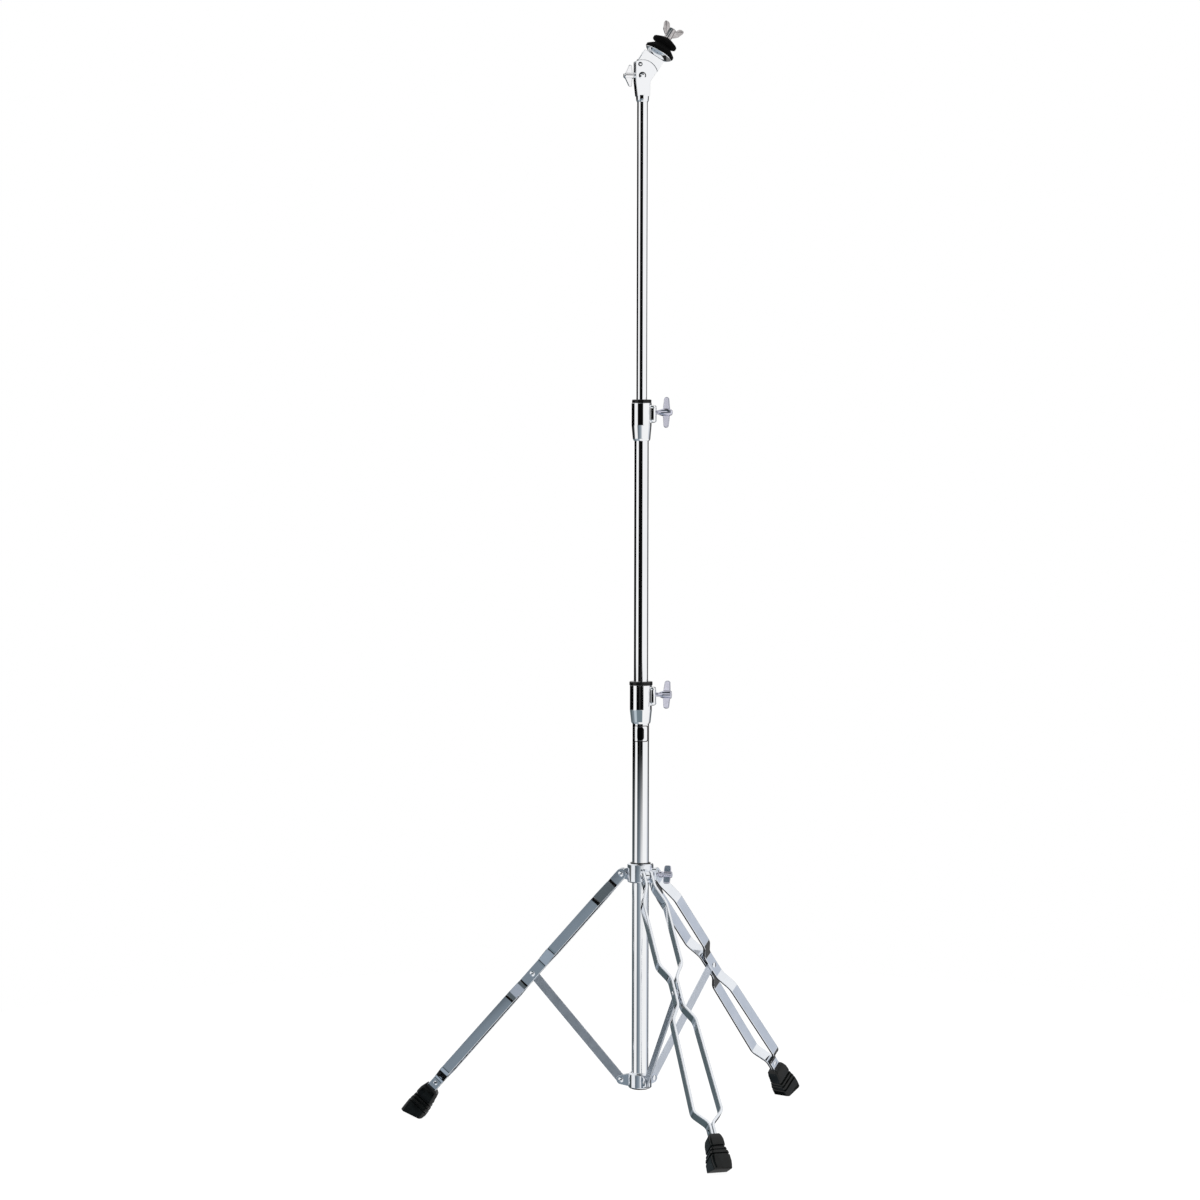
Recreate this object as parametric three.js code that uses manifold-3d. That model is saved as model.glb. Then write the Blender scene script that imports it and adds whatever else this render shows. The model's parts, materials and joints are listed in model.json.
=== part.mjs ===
// Straight cymbal stand: three folding legs under a column of three sliding tubes, two tube
// clamps with wing bolts, and a tilter that carries the cymbal seat on a threaded rod.
// Millimetres, Z up. The origin is on the tube axis, on the underside of the base plug.
import * as THREE from 'three';
import { mergeVertices } from 'three/addons/utils/BufferGeometryUtils.js';
import Module from 'manifold-3d';

// Fits and facets
const tubeSides = 24;
const boltSides = 12;
const bendSteps = 2;
const cornerSteps = 2;
const slideGap = 0.1;
const seatGap = 0.3;
const cutOver = 4;
const mergeDistance = 0.0005;

// Column tubes, from the thin one outwards
const upperTubeRadius = 8;
const upperTubeWall = 1.2;
const upperTubeGap = 1.5;
const midTubeWall = 1.25;
const midTubeGap = 0.45;
const baseTubeWall = 1.3;
const baseTubeLength = 573;
const midTubeLength = 540;
const upperTubeLength = 566;
const midTubeInsertion = 124;
const upperTubeInsertion = 90;
const tubeEdge = 0.4;

// Base plug and glides
const plugFlange = 1;
const plugDepth = 12;
const plugWall = 2;
const glideFlange = 8;
const glideDepth = 12;

// Folding linkage
const linkLength = 204.5;
const legSpread = 41.25;
const legTurns = [180, 60, -60];
const pivotClearance = 0.95;
const sideClearance = 0.4;

// Leg straps: stations are measured down the leg from its top pivot
const strapWidth = 15.5;
const strapThickness = 4;
const strapBend = 9;
const topStraight = 21;
const upperBulgeStart = 52;
const upperBulgeEnd = 47.5;
const upperBulge = 35;
const pinchAbove = 24.5;
const pinchBelow = 22.5;
const lowerBulgeStart = 45.5;
const lowerBulge = 34;
const legStation = 440;
const lowerBulgeLift = 38;
const ankleLift = 19;
const ankleBulge = 42;
const strapInFoot = 30;
const endStrapGap = 0.6;
const endRivetLift = 9;

// Struts and rivets
const strutWidth = 13.5;
const strutThickness = 3;
const rivetRadius = 2.5;
const rivetHeadRadius = 4.3;
const rivetHeadHeight = 1.6;
const rivetCrownShare = 0.6;
const endRivetRadius = 1.9;
const endRivetHeadRadius = 3.3;

// Feet: shares run down the leg, and across it from the inner to the outer face or sideways
const footLength = 53;
const footDepth = 34;
const footWidth = 29;
const footFlat = 1.5;
const footSideShares = [
  [0, -0.28], [0, 0.3], [0.21, 0.39], [0.47, 0.37], [0.5, 0.335], [0.53, 0.375], [0.66, 0.4],
  [0.93, 0.37], [0.98, 0.27], [1, 0.02], [0.97, -0.32], [0.91, -0.53], [0.8, -0.6], [0.56, -0.57],
  [0.51, -0.52], [0.43, -0.54], [0.38, -0.5], [0.31, -0.5], [0.25, -0.42], [0.1, -0.45], [0.03, -0.37],
];
const footFrontShares = [
  [0, 0.26], [0.05, 0.33], [0.16, 0.37], [0.38, 0.37], [0.42, 0.33], [0.46, 0.44], [0.6, 0.47],
  [0.63, 0.42], [0.67, 0.48], [0.85, 0.5], [1, 0.42],
];

// Strut collar
const strutCollarBottom = 1.2;
const strutCollarHeight = 23;
const strutCollarWall = 4.9;
const strutCollarEdge = 2;
const forkThickness = 2;
const forkRootHeight = 19;
const forkEndRadius = 6.9;

// Leg collar
const linerWall = 2.4;
const linerPeek = 1.3;
const legCollarWall = 4.5;
const legCollarBelow = 12;
const legCollarAbove = 16;
const legCollarEdge = 1.5;
const earThickness = 7;
const earRootHeight = 19;
const earEndRadius = 6.6;
const lugReach = 5.5;
const lugWidth = 13;
const lugHeight = 19;
const lugCorner = 4;

// Lower clamp
const lowerClampHeight = 57;
const lowerClampGrip = 30.5;
const lowerClampTopWall = 4;
const lowerClampFootWall = 2;
const lowerClampTaper = 20.8;
const lowerClampEdge = 1.4;
const lowerBossReach = 6.5;
const lowerBossHeight = 28;
const lowerBossWidth = 15;
const lowerBossDrop = 16.2;
const lowerBoltDrop = 13.6;
const lowerRingHeight = 5.5;
const lowerRingWall = 6.5;

// Upper clamp
const upperClampHeight = 55.6;
const upperClampGrip = 28.8;
const upperClampTopWall = 4.25;
const upperClampFootWall = 2.35;
const upperClampTaper = 23.1;
const upperClampEdge = 1.5;
const upperBossReach = 7.5;
const upperBossHeight = 26.3;
const upperBossWidth = 14;
const upperBossDrop = 16;
const upperBoltDrop = 13.7;
const upperRingHeight = 5.2;
const upperRingWall = 6.4;
const bossCorner = 5;

// Pressure pads and the bolts that press on them
const padRadius = 3.1;
const padLength = 3.4;
const boltRadius = 3;
const wingThickness = 3.2;
const wingCorner = 2.2;

// Knobs: shares of [reach beyond the boss, knob radius]; wings: shares of reach at [root, tip]
const lowerKnobReach = 23.3;
const lowerKnobRadius = 5.85;
const lowerKnobShares = [[0.15, 0.52], [0.37, 0.9], [0.43, 1], [0.95, 1], [1, 0.88]];
const lowerWingHalfSpan = 21;
const lowerWingShares = [0.43, 0.92, 0.5, 0.86];
const lowerBoltTurn = -16;
const upperKnobReach = 23.9;
const upperKnobRadius = 5.8;
const upperKnobShares = [
  [0.04, 0.52], [0.2, 0.75], [0.38, 0.94], [0.55, 1], [0.75, 0.95], [0.9, 0.76], [1, 0.42],
];
const upperWingHalfSpan = 22.8;
const upperWingShares = [0.38, 0.86, 0.46, 0.78];
const upperBoltTurn = -6;
const collarKnobReach = 23;
const collarKnobRadius = 4.65;
const collarKnobShares = [
  [0.13, 0.65], [0.14, 1], [0.34, 1], [0.38, 0.78], [0.45, 0.98], [0.96, 0.98], [1, 0.8],
];
const collarWingHalfSpan = 14;
const collarWingShares = [0.42, 0.93, 0.45, 0.88];
const collarBoltTurn = -25;
const lockKnobReach = 15.2;
const lockKnobRadius = 4.5;
const lockKnobShares = [[0.04, 0.6], [0.06, 1], [0.9, 1], [1, 0.7]];
const lockWingHalfSpan = 16;
const lockWingShares = [0.12, 1, 0.2, 0.48];

// Label plate on the base tube
const labelThickness = 0.25;
const labelHeight = 24.1;
const labelDrop = 2.3;
const labelWidth = 21.4;
const labelCorner = 2.5;
const labelTurn = -78.5;

// Tilter base: a flat-sided yoke on the end of the upper tube, with a round neck below it
const tilterTurn = 25;
const neckRadius = 9.7;
const neckHeight = 8;
const neckShoulder = 1.5;
const neckEdge = 1.2;
const yokeFloor = 18;
const pivotHeight = 30;
const pivotOffset = -2;
const yokeFoot = 9.6;
const yokeBack = 12.1;
const yokeFront = 10;
const yokeTopRadius = 23.3;
const yokeTopAngle = 16;
const yokeShoulder = 3.5;
const cheekInner = 5;
const cheekThickness = 2.5;
const webThickness = 1.5;
const webTop = 4.5;
const pivotPinRadius = 2.5;
const pivotHeadRadius = 5.5;
const pivotHeadHeight = 2.4;
const stopBossRadius = 3.4;
const stopBossHeight = 1.8;
const stopBossBack = 3.2;
const stopBossLift = 16.6;

// Tilter lock: pad on the heel of the head, bolt through the web
const lockPadRadius = 4.4;
const lockPadThickness = 1.8;
const lockBossRadius = 4;
const lockBossReach = 1.4;
const lockBoltRadius = 2.5;

// Tilting head: u runs along the cymbal rod, v across it, from the pivot
const headTilt = 31;
const heelRadius = 5.2;
const heelShoulder = 3.1;
const headHalfWidth = 16.5;
const headBackWidth = 17.5;
const headShoulder = 17.5;
const headTop = 35;
const headBlockStart = 24.5;
const headBlockHalfThickness = 8;
const rodOffset = 5;
const rodRadius = 4;
const rodRoot = 10;
const rodTop = 85;

// Cymbal seat on the rod
const cupFloorRadius = 10.8;
const cupRimRadius = 21.1;
const cupRise = 6;
const cupThickness = 1.2;
const sleeveWall = 1.2;
const sleeveLength = 29.6;
const lowerFeltRadius = 22.5;
const lowerFeltRim = 4.4;
const feltNeckRadius = 12;
const lowerFeltCone = 8;
const upperFeltRadius = 19;
const upperFeltUnder = 2;
const upperFeltRim = 4.7;
const upperFeltCone = 5;
const upperFeltTopRadius = 6.8;
const nutHubRadius = 5.5;
const nutHeight = 16.7;
const nutWingHalfSpan = 17.2;
const nutWingTop = 22.7;
const nutWingShares = [[0.22, 0.1], [0.73, 0.4], [1, 0.9], [0.8, 1], [0.5, 0.95], [0.22, 0.6]];
const nutWingThickness = 3;

// Heights and radii that follow from the values above
const degree = Math.PI / 180;
const midTubeBore = upperTubeRadius + upperTubeGap;
const midTubeRadius = midTubeBore + midTubeWall;
const baseTubeBore = midTubeRadius + midTubeGap;
const baseTubeRadius = baseTubeBore + baseTubeWall;
const upperTubeBore = upperTubeRadius - upperTubeWall;
const baseTubeTop = plugFlange + baseTubeLength;
const midTubeBottom = baseTubeTop - midTubeInsertion;
const midTubeTop = midTubeBottom + midTubeLength;
const upperTubeBottom = midTubeTop - upperTubeInsertion;
const upperTubeTop = upperTubeBottom + upperTubeLength;

const linerRadius = baseTubeRadius + linerWall;
const legCollarBore = linerRadius + slideGap;
const legCollarRadius = legCollarBore + legCollarWall;
const pivotRadius = legCollarRadius + pivotClearance + strapWidth / 2;
const strutPivotZ = strutCollarBottom + strutCollarHeight / 2;
const spread = legSpread * degree;
const legPivotZ = strutPivotZ + 2 * linkLength * Math.cos(spread);
const rivetBore = rivetRadius + seatGap;

const topHalfSpacing = earThickness / 2 + sideClearance + strapThickness / 2;
const pinchHalfSpacing = strutThickness / 2 + sideClearance + strapThickness / 2;
const endHalfSpacing = endStrapGap / 2 + strapThickness / 2;
const forkInner = strutThickness / 2 + sideClearance;
const forkOuter = forkInner + forkThickness;

const wasm = await Module();
wasm.setup();

// Basic solids: each is a closed position-only geometry with its faces pointing out
function closed(geometry) {
  const bare = geometry.clone();
  bare.deleteAttribute('normal');
  bare.deleteAttribute('uv');
  const merged = mergeVertices(bare, mergeDistance);
  const kept = [];
  let volume = 0;
  const corners = [new THREE.Vector3(), new THREE.Vector3(), new THREE.Vector3()];
  for (let i = 0; i < merged.index.count; i += 3) {
    const ids = [0, 1, 2].map((k) => merged.index.getX(i + k));
    if (new Set(ids).size < 3) continue;
    kept.push(ids);
    ids.forEach((id, k) => corners[k].fromBufferAttribute(merged.attributes.position, id));
    volume += corners[0].dot(corners[1].cross(corners[2]));
  }
  merged.setIndex(kept.flatMap(([a, b, c]) => (volume < 0 ? [a, c, b] : [a, b, c])));
  return merged;
}

function solidOf(geometry) {
  return new wasm.Manifold(new wasm.Mesh({
    numProp: 3,
    vertProperties: new Float32Array(geometry.attributes.position.array),
    triVerts: new Uint32Array(geometry.index.array),
  }));
}

function geometryOf(solid) {
  const { vertProperties, triVerts } = solid.getMesh();
  const geometry = new THREE.BufferGeometry();
  geometry.setAttribute('position', new THREE.BufferAttribute(vertProperties, 3));
  geometry.setIndex(new THREE.BufferAttribute(triVerts, 1));
  return geometry;
}

function join(first, ...others) {
  return geometryOf(others.reduce((sum, other) => sum.add(solidOf(other)), solidOf(first)));
}

function cut(body, ...tools) {
  return geometryOf(tools.reduce((rest, tool) => rest.subtract(solidOf(tool)), solidOf(body)));
}

function common(first, second) {
  return geometryOf(solidOf(first).intersect(solidOf(second)));
}

// Outline of [radius, height] pairs turned about Z
function revolve(outline, sides) {
  const points = outline.map(([radius, height]) => new THREE.Vector2(radius, height));
  const onAxis = points[0].x === 0 && points[points.length - 1].x === 0;
  if (!onAxis) points.push(points[0].clone());
  return closed(new THREE.LatheGeometry(points, sides).rotateX(Math.PI / 2));
}

function cylinder(radius, bottom, top, sides) {
  return revolve([[0, bottom], [radius, bottom], [radius, top], [0, top]], sides);
}

function block([x0, x1], [y0, y1], [z0, z1]) {
  const box = new THREE.BoxGeometry(x1 - x0, y1 - y0, z1 - z0);
  return closed(box.translate((x0 + x1) / 2, (y0 + y1) / 2, (z0 + z1) / 2));
}

// Outline in the XY plane, given height along Z
function slab(outline, bottom, top) {
  const shape = outline instanceof THREE.Shape
    ? outline
    : new THREE.Shape(outline.map(([x, y]) => new THREE.Vector2(x, y)));
  const options = { depth: top - bottom, bevelEnabled: false, curveSegments: cornerSteps * 2 };
  return closed(new THREE.ExtrudeGeometry(shape, options).translate(0, 0, bottom));
}

// Outline in the XZ plane, given thickness along Y
function upright(outline, front, back) {
  return slab(outline, -back, -front).rotateX(Math.PI / 2);
}

function lyingAlongX(geometry) {
  return geometry.rotateY(Math.PI / 2);
}

function lyingAlongY(geometry) {
  return geometry.rotateX(-Math.PI / 2);
}

// Rounds the corners of a path by cutting each one back and bridging it with a curve
function rounded(points, radius, steps, loop) {
  const vectors = points.map(([x, y]) => new THREE.Vector2(x, y));
  const count = vectors.length;
  return vectors.flatMap((corner, i) => {
    if (!loop && (i === 0 || i === count - 1)) return [[corner.x, corner.y]];
    const before = vectors[(i + count - 1) % count].clone().sub(corner);
    const after = vectors[(i + 1) % count].clone().sub(corner);
    const turn = Math.PI - before.angleTo(after);
    const reach = Math.min(radius * Math.tan(turn / 2), before.length() / 2, after.length() / 2);
    const start = before.setLength(reach).add(corner);
    const end = after.setLength(reach).add(corner);
    return new THREE.QuadraticBezierCurve(start, corner, end).getPoints(steps).map((p) => [p.x, p.y]);
  });
}

// Band of even width along an open path
function ribbon(path, width) {
  const points = path.map(([x, y]) => new THREE.Vector2(x, y));
  const offsets = points.map((point, i) => {
    const before = point.clone().sub(points[Math.max(i - 1, 0)]).normalize();
    const after = points[Math.min(i + 1, points.length - 1)].clone().sub(point).normalize();
    const along = before.add(after).normalize();
    const edge = i === 0 ? after : point.clone().sub(points[i - 1]).normalize();
    const mitre = edge.lengthSq() ? Math.abs(along.dot(edge)) : 1;
    return new THREE.Vector2(-along.y, along.x).multiplyScalar(width / 2 / mitre);
  });
  const left = points.map((point, i) => point.clone().add(offsets[i]));
  const right = points.map((point, i) => point.clone().sub(offsets[i])).reverse();
  return new THREE.Shape([...left, ...right]);
}

// Scene helpers
const stand = new THREE.Group();

function finish(color, roughness, metalness) {
  return new THREE.MeshStandardMaterial({ color, roughness, metalness });
}

const chrome = finish(0xdfe2e6, 0.08, 1);
const nickel = finish(0xa9adb3, 0.28, 1);
const zinc = finish(0xb4b7c4, 0.3, 1);
const nylon = finish(0x0c0c0d, 0.4, 0);
const rubber = finish(0x121414, 0.7, 0);
const felt = finish(0x0a0a0a, 0.95, 0);
const foil = finish(0x8d9094, 0.3, 0.6);

function add(parent, name, geometry, material) {
  const piece = new THREE.Mesh(geometry, material);
  piece.name = name;
  parent.add(piece);
}

function groupAt(parent, x, y, z) {
  const group = new THREE.Group();
  group.position.set(x, y, z);
  parent.add(group);
  return group;
}

function turned(geometry, angle) {
  return geometry.clone().rotateZ(angle * degree);
}

// Shared parts of the column
function tube(radius, bore, bottom, top) {
  return revolve([
    [bore, bottom], [radius - tubeEdge, bottom], [radius, bottom + tubeEdge],
    [radius, top - tubeEdge], [radius - tubeEdge, top], [bore, top],
  ], tubeSides);
}

// Flanged end piece: a flange that slides in the outer bore, and a hollow stem in the inner one
function endGlide(flangeRadius, stemRadius, seam, flange, depth) {
  const hollow = stemRadius - plugWall;
  return revolve([
    [hollow, seam - flange], [flangeRadius, seam - flange], [flangeRadius, seam],
    [stemRadius, seam], [stemRadius, seam + depth], [hollow, seam + depth],
  ], tubeSides);
}

function rivet(shaftRadius, headRadius, headHeight, halfSpan) {
  const crown = headRadius * rivetCrownShare;
  return lyingAlongY(revolve([
    [0, -halfSpan - headHeight], [crown, -halfSpan - headHeight], [headRadius, -halfSpan],
    [shaftRadius, -halfSpan], [shaftRadius, halfSpan], [headRadius, halfSpan],
    [crown, halfSpan + headHeight], [0, halfSpan + headHeight],
  ], boltSides));
}

// Wing bolt lying along X: a turned shank and knob, and one flat blade for both wings
function knobBolt(spec) {
  const { start, face, reach, knobRadius, knobShares, halfSpan, wingShares, turn } = spec;
  const knob = knobShares.map(([along, out]) => [out * knobRadius, face + along * reach]);
  const neck = knob[0][1];
  const body = revolve([
    [0, start], [spec.boltRadius, start], [spec.boltRadius, neck], ...knob, [0, face + reach],
  ], boltSides);
  const [rootStart, rootEnd, tipStart, tipEnd] = wingShares.map((share) => face + share * reach);
  const blade = [
    [rootStart, 0], [tipStart, halfSpan], [tipEnd, halfSpan],
    [rootEnd, 0], [tipEnd, -halfSpan], [tipStart, -halfSpan],
  ];
  const half = wingThickness / 2;
  const wings = upright(rounded(blade, wingCorner, cornerSteps, true), -half, half);
  return join(lyingAlongX(body), wings).rotateX(turn * degree);
}

function pressurePad(face) {
  return lyingAlongX(cylinder(padRadius, face + slideGap, face + slideGap + padLength, boltSides));
}

function hole(radius, from, to, height) {
  return lyingAlongX(cylinder(radius, from, to, boltSides)).translate(0, 0, height);
}

// Clamp body with a flat boss towards +X for its wing bolt
function clampBody(spec) {
  const { bottom, top, bore, topWall, footWall, taper, edge } = spec;
  const body = revolve([
    [bore, bottom], [bore + footWall - edge, bottom], [bore + footWall, bottom + edge * 2],
    [bore + topWall, bottom + taper], [bore + topWall, top - edge / 2],
    [bore + topWall - edge / 2, top], [bore, top],
  ], tubeSides);
  const { bossCentre, bossHeight, bossWidth, bossFace } = spec;
  const corners = [[-1, -1], [1, -1], [1, 1], [-1, 1]];
  const outline = corners.map(([x, y]) => [x * bossHeight / 2, y * bossWidth / 2]);
  const boss = lyingAlongX(slab(rounded(outline, bossCorner, cornerSteps, true), 0, bossFace));
  boss.translate(0, 0, bossCentre);
  const space = cylinder(bore, bottom - cutOver, top + cutOver, tubeSides);
  const boltWay = hole(padRadius + seatGap, 0, bossFace + cutOver, spec.boltHeight);
  return cut(join(body, boss), space, boltWay);
}

// Nylon bushing: a ring on top of the clamp and a sleeve inside it, with a window for the pad
function clampBushing(spec) {
  const { bottom, top, bore, radius, ringHeight, ringRadius, boltHeight } = spec;
  const ringEdge = ringHeight / 6;
  const body = revolve([
    [bore, bottom], [radius, bottom], [radius, top], [ringRadius, top],
    [ringRadius, top + ringHeight - ringEdge], [ringRadius - ringEdge, top + ringHeight],
    [bore, top + ringHeight],
  ], tubeSides);
  return cut(body, hole(padRadius + seatGap, 0, ringRadius + cutOver, boltHeight));
}

// Flat link plate seen in the XZ plane: a root edge, tapering to a round end at the pivot
function pivotPlate(rootX, rootHeight, endX, endRadius) {
  const shape = new THREE.Shape();
  shape.moveTo(rootX, -rootHeight / 2);
  shape.lineTo(endX, -endRadius);
  shape.absarc(endX, 0, endRadius, -Math.PI / 2, Math.PI / 2, false);
  shape.lineTo(rootX, rootHeight / 2);
  shape.closePath();
  return shape;
}

// Column: base tube and what is fixed to it
function addBase() {
  add(stand, 'base_tube', tube(baseTubeRadius, baseTubeBore, plugFlange, baseTubeTop), chrome);
  const stem = baseTubeBore - slideGap;
  const plug = revolve([
    [0, 0], [baseTubeRadius, 0], [baseTubeRadius, plugFlange], [stem, plugFlange],
    [stem, plugFlange + plugDepth], [stem - plugWall, plugFlange + plugDepth],
    [stem - plugWall, plugFlange + plugWall], [0, plugFlange + plugWall],
  ], tubeSides);
  add(stand, 'base_plug', plug, nylon);

  const ring = revolve([
    [baseTubeRadius + slideGap, 0], [baseTubeRadius + slideGap + labelThickness, 0],
    [baseTubeRadius + slideGap + labelThickness, labelHeight], [baseTubeRadius + slideGap, labelHeight],
  ], tubeSides);
  const half = labelWidth / 2;
  const outline = [[0, -half], [labelHeight, -half], [labelHeight, half], [0, half]];
  const window = slab(rounded(outline, labelCorner, cornerSteps, true), 0, baseTubeRadius * 2);
  const label = common(ring, turned(lyingAlongX(window).rotateX(Math.PI), labelTurn));
  const labelTop = baseTubeTop - lowerClampGrip - labelDrop;
  add(stand, 'blank_label', label.translate(0, 0, labelTop - labelHeight), foil);
}

// Two tube clamps, each with its bushing, pressure pad and wing bolt
function addClamp(name, spec) {
  const { bodyMaterial, tubeRadius, boltHeight, bossFace } = spec;
  add(stand, name + '_clamp', clampBody(spec), bodyMaterial);
  add(stand, name + '_bushing', clampBushing({
    bottom: spec.tubeTop + slideGap,
    top: spec.top,
    bore: tubeRadius + slideGap,
    radius: spec.bore - slideGap,
    ringHeight: spec.ringHeight,
    ringRadius: tubeRadius + spec.ringWall,
    boltHeight,
  }), nylon);
  const lock = groupAt(stand, 0, 0, boltHeight);
  add(lock, name + '_pad', pressurePad(tubeRadius), nylon);
  const start = tubeRadius + padLength + 2 * slideGap;
  add(lock, name + '_wing_bolt', knobBolt({ ...spec.knob, start, face: bossFace, boltRadius }), zinc);
}

function addClamps() {
  const lowerBore = baseTubeRadius + slideGap;
  const lowerTop = baseTubeTop - lowerClampGrip + lowerClampHeight;
  addClamp('lower', {
    bodyMaterial: chrome,
    tubeTop: baseTubeTop,
    tubeRadius: midTubeRadius,
    bore: lowerBore,
    bottom: lowerTop - lowerClampHeight,
    top: lowerTop,
    topWall: lowerClampTopWall,
    footWall: lowerClampFootWall,
    taper: lowerClampTaper,
    edge: lowerClampEdge,
    bossFace: lowerBore + lowerClampTopWall + lowerBossReach,
    bossHeight: lowerBossHeight,
    bossWidth: lowerBossWidth,
    bossCentre: lowerTop - lowerBossDrop,
    boltHeight: lowerTop - lowerBoltDrop,
    ringHeight: lowerRingHeight,
    ringWall: lowerRingWall,
    knob: {
      reach: lowerKnobReach,
      knobRadius: lowerKnobRadius,
      knobShares: lowerKnobShares,
      halfSpan: lowerWingHalfSpan,
      wingShares: lowerWingShares,
      turn: lowerBoltTurn,
    },
  });
  const upperBore = midTubeRadius + slideGap;
  const upperTop = midTubeTop - upperClampGrip + upperClampHeight;
  addClamp('upper', {
    bodyMaterial: chrome,
    tubeTop: midTubeTop,
    tubeRadius: upperTubeRadius,
    bore: upperBore,
    bottom: upperTop - upperClampHeight,
    top: upperTop,
    topWall: upperClampTopWall,
    footWall: upperClampFootWall,
    taper: upperClampTaper,
    edge: upperClampEdge,
    bossFace: upperBore + upperClampTopWall + upperBossReach,
    bossHeight: upperBossHeight,
    bossWidth: upperBossWidth,
    bossCentre: upperTop - upperBossDrop,
    boltHeight: upperTop - upperBoltDrop,
    ringHeight: upperRingHeight,
    ringWall: upperRingWall,
    knob: {
      reach: upperKnobReach,
      knobRadius: upperKnobRadius,
      knobShares: upperKnobShares,
      halfSpan: upperWingHalfSpan,
      wingShares: upperWingShares,
      turn: upperBoltTurn,
    },
  });
}

// Sliding tubes and the glides in their lower ends
function addSlidingTubes() {
  const midFlange = baseTubeBore - slideGap;
  const midStem = midTubeBore - slideGap;
  const upperStem = upperTubeBore - slideGap;
  add(stand, 'mid_glide', endGlide(midFlange, midStem, midTubeBottom, glideFlange, glideDepth), nylon);
  add(stand, 'mid_tube', tube(midTubeRadius, midTubeBore, midTubeBottom, midTubeTop), chrome);
  add(stand, 'upper_glide', endGlide(midStem, upperStem, upperTubeBottom, glideFlange, glideDepth), nylon);
  add(stand, 'upper_tube', tube(upperTubeRadius, upperTubeBore, upperTubeBottom, upperTubeTop), chrome);
}

// Collar at the foot of the base tube, with a fork for each strut
function addStrutCollar() {
  const bore = baseTubeRadius + slideGap;
  const radius = baseTubeRadius + strutCollarWall;
  const top = strutCollarBottom + strutCollarHeight;
  const ring = revolve([
    [bore, strutCollarBottom], [radius - strutCollarEdge, strutCollarBottom],
    [radius, strutCollarBottom + strutCollarEdge], [radius, top - strutCollarEdge],
    [radius - strutCollarEdge, top], [bore, top],
  ], tubeSides);
  const plate = pivotPlate(bore, forkRootHeight, pivotRadius, forkEndRadius);
  const plates = [upright(plate, forkInner, forkOuter), upright(plate, -forkOuter, -forkInner)];
  const forks = legTurns.flatMap((turn) => plates.map((part) => turned(part, turn)));
  const lifted = [...forks, ...pivotHoles(forkOuter)].map((part) => part.translate(0, 0, strutPivotZ));
  const space = cylinder(bore, -cutOver, top + cutOver, tubeSides);
  const pivots = lifted.splice(forks.length);
  add(stand, 'strut_collar', cut(join(ring, ...lifted), space, ...pivots), nickel);
}

// Cross holes at the three leg pivots, at height zero
function pivotHoles(halfSpan) {
  const reach = halfSpan + cutOver;
  return legTurns.map((turn) => {
    const way = lyingAlongY(cylinder(rivetBore, -reach, reach, boltSides));
    return turned(way.translate(pivotRadius, 0, 0), turn);
  });
}

// Collar that slides on the base tube and carries the tops of the legs
function addLegCollar() {
  const ring = revolve([
    [legCollarBore, -legCollarBelow], [legCollarRadius - legCollarEdge, -legCollarBelow],
    [legCollarRadius, legCollarEdge - legCollarBelow], [legCollarRadius, legCollarAbove - legCollarEdge],
    [legCollarRadius - legCollarEdge, legCollarAbove], [legCollarBore, legCollarAbove],
  ], tubeSides);
  const earPlate = pivotPlate(legCollarBore, earRootHeight, pivotRadius, earEndRadius);
  const ear = upright(earPlate, -earThickness / 2, earThickness / 2);
  const ears = legTurns.map((turn) => turned(ear, turn));
  const lugFace = legCollarRadius + lugReach;
  const corners = [[-1, -1], [1, -1], [1, 1], [-1, 1]];
  const outline = corners.map(([x, y]) => [x * lugHeight / 2, y * lugWidth / 2]);
  const lug = lyingAlongX(slab(rounded(outline, lugCorner, cornerSteps, true), 0, lugFace));
  const space = cylinder(legCollarBore, -legCollarBelow - cutOver, legCollarAbove + cutOver, tubeSides);
  const boltWay = hole(padRadius + seatGap, 0, lugFace + cutOver, 0);
  const body = cut(join(ring, ...ears, lug), space, boltWay, ...pivotHoles(earThickness / 2));

  const collar = groupAt(stand, 0, 0, legPivotZ);
  add(collar, 'leg_collar', body, nickel);
  const linerBore = baseTubeRadius + slideGap;
  const liner = revolve([
    [linerBore, -legCollarBelow], [linerRadius, -legCollarBelow],
    [linerRadius, legCollarAbove + linerPeek], [linerBore, legCollarAbove + linerPeek],
  ], tubeSides);
  add(collar, 'leg_collar_liner', cut(liner, hole(padRadius + seatGap, 0, linerRadius + cutOver, 0)), nylon);
  add(collar, 'leg_collar_pad', pressurePad(baseTubeRadius), nylon);
  add(collar, 'leg_collar_wing_bolt', knobBolt({
    start: baseTubeRadius + padLength + 2 * slideGap,
    face: lugFace,
    boltRadius,
    reach: collarKnobReach,
    knobRadius: collarKnobRadius,
    knobShares: collarKnobShares,
    halfSpan: collarWingHalfSpan,
    wingShares: collarWingShares,
    turn: collarBoltTurn,
  }), zinc);
}

// Turns a solid drawn as [down the leg, across it] into the leg's own frame
function acrossLeg(geometry) {
  const down = new THREE.Vector3(0, 0, -1);
  const outwards = new THREE.Vector3(1, 0, 0);
  const sideways = new THREE.Vector3(0, -1, 0);
  return geometry.applyMatrix4(new THREE.Matrix4().makeBasis(down, outwards, sideways));
}

function legHole(radius, station) {
  const reach = ankleBulge / 2;
  return lyingAlongY(cylinder(radius, -reach, reach, boltSides)).translate(0, 0, -station);
}

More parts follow.
